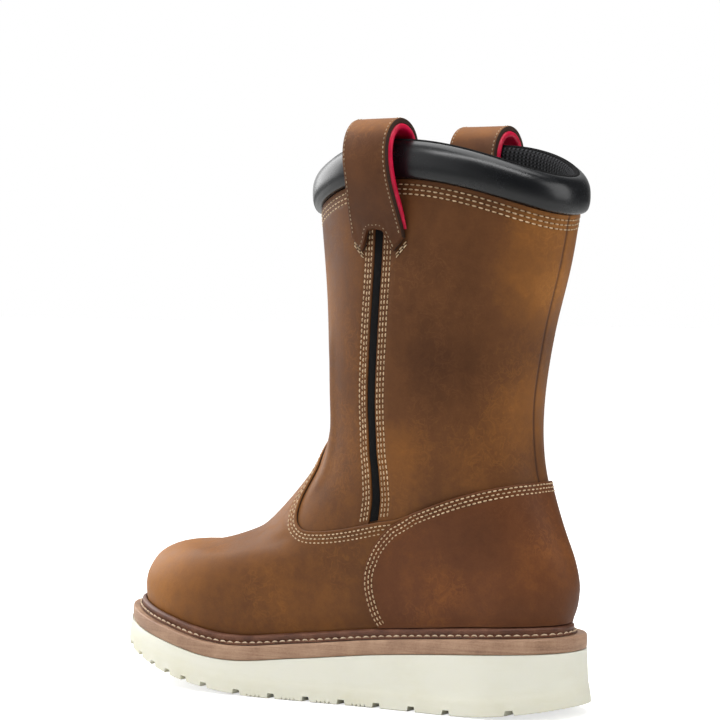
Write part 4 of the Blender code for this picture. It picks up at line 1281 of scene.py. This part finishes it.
def build_counter():
    """Counter panel with rounded cut edges."""
    near = np.array(COUNTER_BAND_ROWS) * MM
    u = np.concatenate([1 - near / COUNTER_REACH, np.linspace(1 - COUNTER_BAND / COUNTER_REACH, 0, 50)])
    u = np.concatenate([-u, u[-2::-1]])
    v = np.linspace(0, 1 - COUNTER_BAND / COUNTER_HEIGHT, 40)
    v = np.concatenate([v, 1 - near[::-1] / COUNTER_HEIGHT])
    loops, tone_and_highlights = [], []
    for place in u:
        low_angle = math.radians(place * float(counter_degrees(COUNTER_FOOT)))
        low = bead_level(low_angle, BEAD_HEIGHT + COUNTER_CLEAR) / float(top_level(low_angle))
        shares = low + (1 - low) * v
        angles = np.radians(place * counter_degrees(shares))
        levels = shares * top_level(angles)
        around, upward = slopes_at(angles, levels)
        to_front = (1 - abs(place)) * np.radians(counter_degrees(shares)) * np.linalg.norm(around, axis=-1)
        to_top = (top_level(angles) - levels) * np.linalg.norm(upward, axis=-1)
        inside = np.minimum(to_front, to_top)
        lift = counter_lift(angles)
        body = COUNTER_THICKNESS * (0.45 + 0.55 * edge_round(inside)) + pucker(inside, COUNTER_ROWS)
        outer = skin_point(angles, levels, lift + body)
        inner = skin_point(angles, levels, lift)
        loops.append(np.concatenate([outer, inner[::-1]]))
        tone_and_highlights.append(tone_and_highlight_of(loops[-1]))
    parts = np.zeros(2 * len(v), int)
    parts[len(v) - 1] = 1
    parts[-1] = 1
    looks, fields = [COUNTER_LEATHER, CUT_EDGES], {"tone_and_highlight": tone_and_highlights}
    lofted("counter_panel", loops, looks, ["heel_counter"], parts=parts, fields=fields)


def build_counter_stitches():
    """Three rows inside the counter's outline."""
    shares = np.linspace(COUNTER_ROW_FOOT, 1, 160)
    front = np.radians(counter_degrees(shares))
    top = np.linspace(front[-1], 0, 90)[1:]
    side_angles = np.concatenate([front, top])
    side_levels = np.concatenate([shares * top_level(front), top_level(top)])
    angles = np.concatenate([side_angles, -side_angles[-2::-1]])
    levels = np.concatenate([side_levels, side_levels[-2::-1]])
    runs = []
    for distance in COUNTER_ROWS:
        a, v = beside(angles, levels, distance, -1)
        runs.append(along_skin(a, v, counter_lift(a) + COUNTER_THICKNESS - STITCH_SEAT))
    stitched("counter_stitches", runs, PANEL_THREAD)


def build_strip(name, side):
    """Woven black strip, slightly crowned, in the groove between the shaft's panels."""
    half = STRIP_WIDTH / 2 - FIT_GAP
    loops, arounds, alongs = [], [], []
    for across in np.linspace(-half, half, 9):
        levels = np.linspace(strip_foot(across) + STRIP_FOOT_GAP, TOP_LEVEL - STRIP_HEAD_GAP, 150)
        angles = on_side(strip_angle(levels, across), side)
        crown = STRIP_CROWN * (1 - (across / half) ** 2)
        face = skin_point(angles, levels, crown - STRIP_SINK - STRIP_SET)
        back = skin_point(angles, levels, FIT_GAP / 2 - STRIP_GROOVE)
        loops.append(np.concatenate([face, back[::-1]]))
        arounds.append(np.full(2 * len(levels), across))
        alongs.append(loops[-1][:, 2])
    node, fields = "side_strip_" + name, {"around": arounds, "along": alongs}
    lofted("woven_strip_" + name, loops, [STRIP_CLOTH], [node], fields=fields)


# Collar and straps


def round_loop(rows, count):
    """A smooth closed curve through table rows of two columns."""
    rows = np.array(rows, float)
    size = len(rows)
    padded = np.concatenate([rows[-2:], rows, rows[:3]])
    places = np.arange(-2, size + 3)
    t = np.arange(count) * size / count
    return np.stack([flowing(places, padded[:, k], t) for k in range(2)], -1)


def build_collar(angles):
    """Padded collar: smooth black outside, knitted mesh inside, a thin binding along the crest."""
    edge = upper_point(angles, float(TOP_LEVEL))
    out = plan_normals(edge)
    profile = round_loop(COLLAR_PROFILE, COLLAR_SIDES) * MM
    slack = 1 + COLLAR_SLACK * np.sin(angles * 9 + 1.3) * np.sin(angles * 4)
    body = edge[:, None] + out[:, None] * (profile[None, :, :1] * slack[:, None, None])
    body = body + UP * profile[None, :, 1:]
    inside = (profile[:, 0] < BINDING_OUT) & (profile[:, 1] > LINING_FOOT)
    around = np.broadcast_to((angles * SHAFT_RADIUS)[:, None], body.shape[:2])
    along = np.broadcast_to(profile[None, :, 1], body.shape[:2])
    fields = {"around": around, "along": along}
    looks = [COLLAR_BLACK, LINING_MESH]
    pad = lofted("padded_collar", body, looks, ["collar"], True, inside.astype(int), fields)
    turn = np.linspace(0, 2 * math.pi, BINDING_SIDES, endpoint=False)
    across = BINDING_OUT + BINDING_WIDTH * np.cos(turn)
    upward = BINDING_UP + BINDING_HEIGHT * np.sin(turn)
    roll = edge[:, None] + out[:, None] * across[None, :, None] + UP * upward[None, :, None]
    fields = {"around": around[:, :BINDING_SIDES], "along": np.broadcast_to(turn * MM, roll.shape[:2])}
    lofted("collar_binding", roll, [STRIP_CLOTH], ring=True, fields=fields)


def upper_surface():
    """The plain upper as a surface that a ray can meet."""
    columns, rows = 240, 180
    angles = np.linspace(0, 2 * math.pi, columns, endpoint=False)
    levels = np.linspace(0, TOP_LEVEL, rows)
    points = upper_point(angles[:, None], levels[None, :]).reshape(-1, 3)
    i, j = np.meshgrid(np.arange(columns), np.arange(rows - 1), indexing="ij")
    here, there = i * rows + j, (i + 1) % columns * rows + j
    faces = np.stack([here, there, there + 1, here + 1], -1).reshape(-1, 4)
    return BVHTree.FromPolygons([Vector(p) for p in points], faces.tolist())


SHAFT = upper_surface()
STRAP_TOP = float(upper_point(strip_angle(float(TOP_LEVEL), 0.0), float(TOP_LEVEL))[2])


def shaft_side(x, up):
    """Half breadth of the shaft at a place along the boot and a height from its top edge."""
    start = Vector((x, 0, STRAP_TOP + min(up, -STRAP_SEAT)))
    place, _, _, _ = SHAFT.ray_cast(start, Vector((0, 1, 0)))
    return place.y


def resampled(line, count):
    """A line of few rows as a smooth curve of even steps."""
    length = np.concatenate([[0], np.cumsum(np.linalg.norm(np.diff(line[:, :2], axis=0), axis=1))])
    even = np.linspace(0, length[-1], count)
    return np.stack([flowing(length, line[:, k], even) for k in range(line.shape[1])], -1)


def strap_line(across, forked):
    """Smooth rows of the strap at one place across it: outward, up and the lining's thickness."""
    rows = np.array([(r.outward, r.up, r.lining) for r in STRAP_LINE], float)
    if forked:
        drop = np.interp(abs(across) / MM, column_of(STRAP_END, "across"), column_of(STRAP_END, "drop"))
        stretch = (rows[0, 1] - drop - STRAP_FORK_TOP) / (rows[0, 1] - STRAP_FORK_TOP)
        low = (rows[:, 1] < STRAP_FORK_TOP) & (np.arange(len(rows)) < STRAP_OUTER_ROWS)
        up = np.where(low, STRAP_FORK_TOP + (rows[:, 1] - STRAP_FORK_TOP) * stretch, rows[:, 1])
        leg = slice(0, STRAP_OUTER_ROWS)
        rows[:, 0] = np.where(low, np.interp(up, rows[leg, 1], rows[leg, 0]), rows[:, 0])
        rows[:, 1] = up
    return resampled(rows, STRAP_ROWS) * MM


def outer_side(line):
    ahead = unit(np.gradient(line, axis=0))
    return np.stack([ahead[:, 1], -ahead[:, 0]], -1)


def strap_x(across, outward, up):
    """Places of strap points along the boot.  The outer leg spreads forward to its stitched end."""
    share = (across + STRAP_HALF) / (2 * STRAP_HALF)
    spread = STRAP_FLARE * share * ease(STRAP_FLARE_TOP, STRAP_FLARE_FOOT, up)
    return STRAP_STATION - SOLE_LENGTH / 2 + across + np.where(np.asarray(outward) < 0, 0, spread)


def stand_strap(side, across, line):
    """Points of a strap's line set against the shaft's side."""
    x = strap_x(across, line[:, 0], line[:, 1])
    y = [side * (shaft_side(at, up) + outward) for at, (outward, up) in zip(x, line)]
    return np.stack([x, y, STRAP_TOP + line[:, 1]], -1)


def mirrored_places(half):
    """Places from one edge to the other, from those between the middle and an edge."""
    return np.concatenate([-half[::-1], half[1:]])


def build_strap(name, side):
    """Leather pull loop with rounded edges and a forked end, sewn along both edges and round the fork."""
    half = np.concatenate([np.linspace(0, STRAP_FLAT, STRAP_COLUMNS // 2), STRAP_EDGE_COLUMNS]) * MM
    loops, tone_and_highlights = [], []
    for across in mirrored_places(half):
        line = strap_line(across, True)[:, :2]
        edge = edge_round(STRAP_HALF - abs(across), STRAP_EDGE_ROUND)
        ends = edge_round(np.arange(STRAP_ROWS) * STRAP_ROW_STEP)
        thick = STRAP_LEATHER * (0.55 + 0.45 * np.minimum(0.5 + 0.5 * edge, ends))
        outer = stand_strap(side, across, line + outer_side(line) * thick[:, None])
        inner = stand_strap(side, across, line)
        loops.append(np.concatenate([outer, inner[::-1]]))
        # Painted highlight: the loop's face is lighter toward its top, where the light falls
        pale = ease(STRAP_TOP_HIGHLIGHT_FROM, STRAP_TOP_HIGHLIGHT_TO, loops[-1][:, 2] - STRAP_TOP)
        tone_and_highlights.append(tone_and_highlight_of(loops[-1]) + STRAP_TOP_HIGHLIGHT * pale)
    parts = np.zeros((len(loops) - 1, 2 * STRAP_ROWS), int)
    parts[:, -1] = 1
    parts[:2] = 1
    parts[-2:] = 1
    node, fields = "pull_strap_" + name, {"tone_and_highlight": tone_and_highlights}
    looks = [STRAP_SKIN, CUT_EDGES]
    lofted("strap_" + name, loops, looks, [node], parts=parts, fields=fields, lid_part=1)
    runs = [strap_run(side, across) for across in (-STRAP_ROW_ACROSS, STRAP_ROW_ACROSS)]
    runs.append(fork_run(side))
    stitched("strap_stitches_" + name, runs, STRAP_THREAD, STRAP_CREAM)
    stitched("strap_tacks_" + name, tack_runs(side), PANEL_THREAD)


def strap_run(side, across):
    """A line along the strap's outer face and its outward directions."""
    line = strap_line(across, True)[:, :2]
    out = outer_side(line)
    points = stand_strap(side, across, line + out * STRAP_ROW_LIFT)
    normals = np.stack([np.zeros(len(out)), side * out[:, 0], out[:, 1]], -1)
    return points[STRAP_ROW_SPAN], normals[STRAP_ROW_SPAN]


def fork_run(side):
    """A line round the fork's notch, a stitch in from its edge."""
    first = STRAP_LINE[0].up
    leg = STRAP_LINE[:STRAP_OUTER_ROWS]
    outline = FORK_ROW + [(-row.across, row.up) for row in reversed(FORK_ROW[:-1])]
    outline = resampled(np.array(outline, float), 60)
    outward = np.interp(first + outline[:, 1], column_of(leg, "up"), column_of(leg, "outward"))
    points = []
    for (across, up), out in zip(outline, outward):
        line = np.array([[out * MM + STRAP_ROW_LIFT, (first + up) * MM]])
        points.append(stand_strap(side, across * MM, line)[0])
    return np.array(points), np.tile([0.0, side, 0.0], (len(points), 1))


def tack_runs(side):
    """Short rows of stitches on the shaft just below the fork's two slanted tails."""
    runs = []
    first = STRAP_LINE[0].up
    for hand in (-1, 1):
        for gap in TACK_GAPS:
            points, normals = [], []
            for across, up in np.linspace(TACK_FROM, TACK_TO, 12) - (0, gap):
                x = float(strap_x(hand * across * MM, 0.0, (first + up) * MM))
                start = Vector((x, 0, STRAP_TOP + (first + up) * MM))
                place, normal, _, _ = SHAFT.ray_cast(start, Vector((0, side, 0)))
                out = normal if normal.y * side > 0 else -normal
                points.append(place + out * TACK_LIFT)
                normals.append(out)
            runs.append((np.array(points), np.array(normals)))
    return runs


def build_lining(name, side):
    """Crimson lining of the loop, rolled at both edges like a cord."""
    half = np.array(LINING_ACROSS) * MM
    loops = []
    for across in mirrored_places(half):
        line = strap_line(across, False)[LINING_FIRST_ROW:]
        inward = -outer_side(line[:, :2])
        share = 0.15 + 0.85 * edge_round(half[-1] - abs(across), LINING_ROLL)
        middle = line[:, :2] + inward * (FIT_GAP / 2 + line[:, 2:] / 2)
        reach = inward * (share * line[:, 2:] / 2)
        outer = stand_strap(side, across, middle - reach)
        inner = stand_strap(side, across, middle + reach)
        loops.append(np.concatenate([outer, inner[::-1]]))
    node = "strap_lining_" + name
    lofted("loop_lining_" + name, loops, [RED], [node])


# Studio

VIEW_TURN, VIEW_PITCH, VIEW_DISTANCE = math.radians(36), math.radians(2), 1.55
VIEW_AIM = Vector((-5.1, 0, 188.8)) * MM
LENS = 137.0


def pointed(name, data, place, look):
    """A camera or light at a place, looking along a direction."""
    made = placed(name, data)
    made.location = place
    made.rotation_mode = "QUATERNION"
    made.rotation_quaternion = look.to_track_quat("-Z", "Y")
    return made


def build_camera():
    """The photograph's view: from the inner side, turned to the heel, a little above level."""
    camera = bpy.data.cameras.new("camera")
    camera.lens = LENS
    camera.sensor_width = 36
    flat = math.cos(VIEW_PITCH)
    look = Vector((math.sin(VIEW_TURN) * flat, -math.cos(VIEW_TURN) * flat, -math.sin(VIEW_PITCH)))
    bpy.context.scene.camera = pointed("camera", camera, VIEW_AIM - look * VIEW_DISTANCE, look)


SOFTBOXES = table("name place aim width height power", [
    ("key", (-0.48, 0.58, 1.32), (-0.05, 0, 0.20), 1.8, 0.26, 13.5),
    ("top", (-0.05, -0.20, 1.45), (0, 0, 0.1), 1.4, 1.0, 13),
    ("toe", (1.22, -0.05, 0.80), (0.05, 0, 0.15), 1.0, 1.2, 12),
    ("heel", (-1.25, -0.45, 0.62), (-0.08, 0, 0.14), 0.8, 0.8, 5.0),
])
ROOM_BRIGHT, ROOM_BRIGHT_AT = 1.15, -0.7
ROOM_DIM, ROOM_DIM_AT = 0.08, 0.25
DIM_SIDE = (-0.958, -0.288, 0.0)
FLOOR_HALF, FLOOR_DROP, FLOOR_GLOW = 8.0, 0.2 * MM, 0.69


def pale_floor(name):
    """Pale studio floor, very slightly uneven in tone."""
    look = Look(name, Specular_IOR_Level=0.0, Emission_Color=(1, 1, 1, 1))
    clouds = look.noise(0.4, 2, 0.5)
    stops = [(0.3, (0.69, 0.69, 0.68)), (0.7, (0.71, 0.71, 0.70))]
    seen = look.add("ShaderNodeLightPath").outputs["Is Camera Ray"]
    look.feed(look.shader.inputs["Emission Strength"], look.math("MULTIPLY", seen, FLOOR_GLOW))
    return look.wear(look.ramp(clouds, stops), look.span(clouds, 0, 1, 0.6, 0.7))


def build_floor():
    """Plain pale floor, a hair below the sole."""
    corners = ((-1, -1), (1, -1), (1, 1), (-1, 1))
    points = [(x * FLOOR_HALF, y * FLOOR_HALF, -FLOOR_DROP) for x, y in corners]
    mesh = bpy.data.meshes.new("floor")
    mesh.from_pydata(points, [], [(0, 1, 2, 3)])
    mesh.materials.append(pale_floor("pale_floor"))
    floor = placed("floor", mesh)


def build_lights():
    """Soft boxes round the boot."""
    for box in SOFTBOXES:
        light = bpy.data.lights.new(box.name, "AREA")
        light.shape = "RECTANGLE"
        light.size, light.size_y = box.width, box.height
        light.energy = box.power
        pointed(box.name, light, box.place, Vector(box.aim) - Vector(box.place))


def build_room():
    """White to the camera, and as a light bright on one side and dim on the other."""
    world = bpy.data.worlds.new("studio")
    bpy.context.scene.world = world
    world.use_nodes = True
    nodes, links = world.node_tree.nodes, world.node_tree.links
    back = nodes["Background"]
    back.inputs["Color"].default_value = (1, 1, 1, 1)
    towards = nodes.new("ShaderNodeVectorMath")
    towards.operation = "DOT_PRODUCT"
    links.new(nodes.new("ShaderNodeTexCoord").outputs["Generated"], towards.inputs[0])
    towards.inputs[1].default_value = DIM_SIDE
    shade = nodes.new("ShaderNodeMapRange")
    links.new(towards.outputs["Value"], shade.inputs["Value"])
    limits = {"From Min": ROOM_BRIGHT_AT, "From Max": ROOM_DIM_AT, "To Min": ROOM_BRIGHT, "To Max": ROOM_DIM}
    for socket, value in limits.items():
        shade.inputs[socket].default_value = value
    strength = nodes.new("ShaderNodeMath")
    strength.operation = "MAXIMUM"
    links.new(shade.outputs[0], strength.inputs[0])
    links.new(nodes.new("ShaderNodeLightPath").outputs["Is Camera Ray"], strength.inputs[1])
    links.new(strength.outputs[0], back.inputs["Strength"])
    bpy.context.scene.view_settings.view_transform = "Standard"


def build_boot():
    """Every piece of the boot, and the footbed's cloth on its own solid."""
    angles = np.linspace(0, 2 * math.pi, RING_COLUMNS, endpoint=False)
    build_outsole()
    build_midsole()
    build_welt(angles)
    build_upper()
    build_vamp_stitches()
    build_shaft_stitches()
    build_counter()
    build_counter_stitches()
    build_collar(angles)
    for name, side in SIDES:
        build_strip(name, side)
        build_strap(name, side)
        build_lining(name, side)
    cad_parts["insole"].data.materials.clear()
    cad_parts["insole"].data.materials.append(FOOTBED)


build_boot()
build_camera()
build_floor()
build_lights()
build_room()
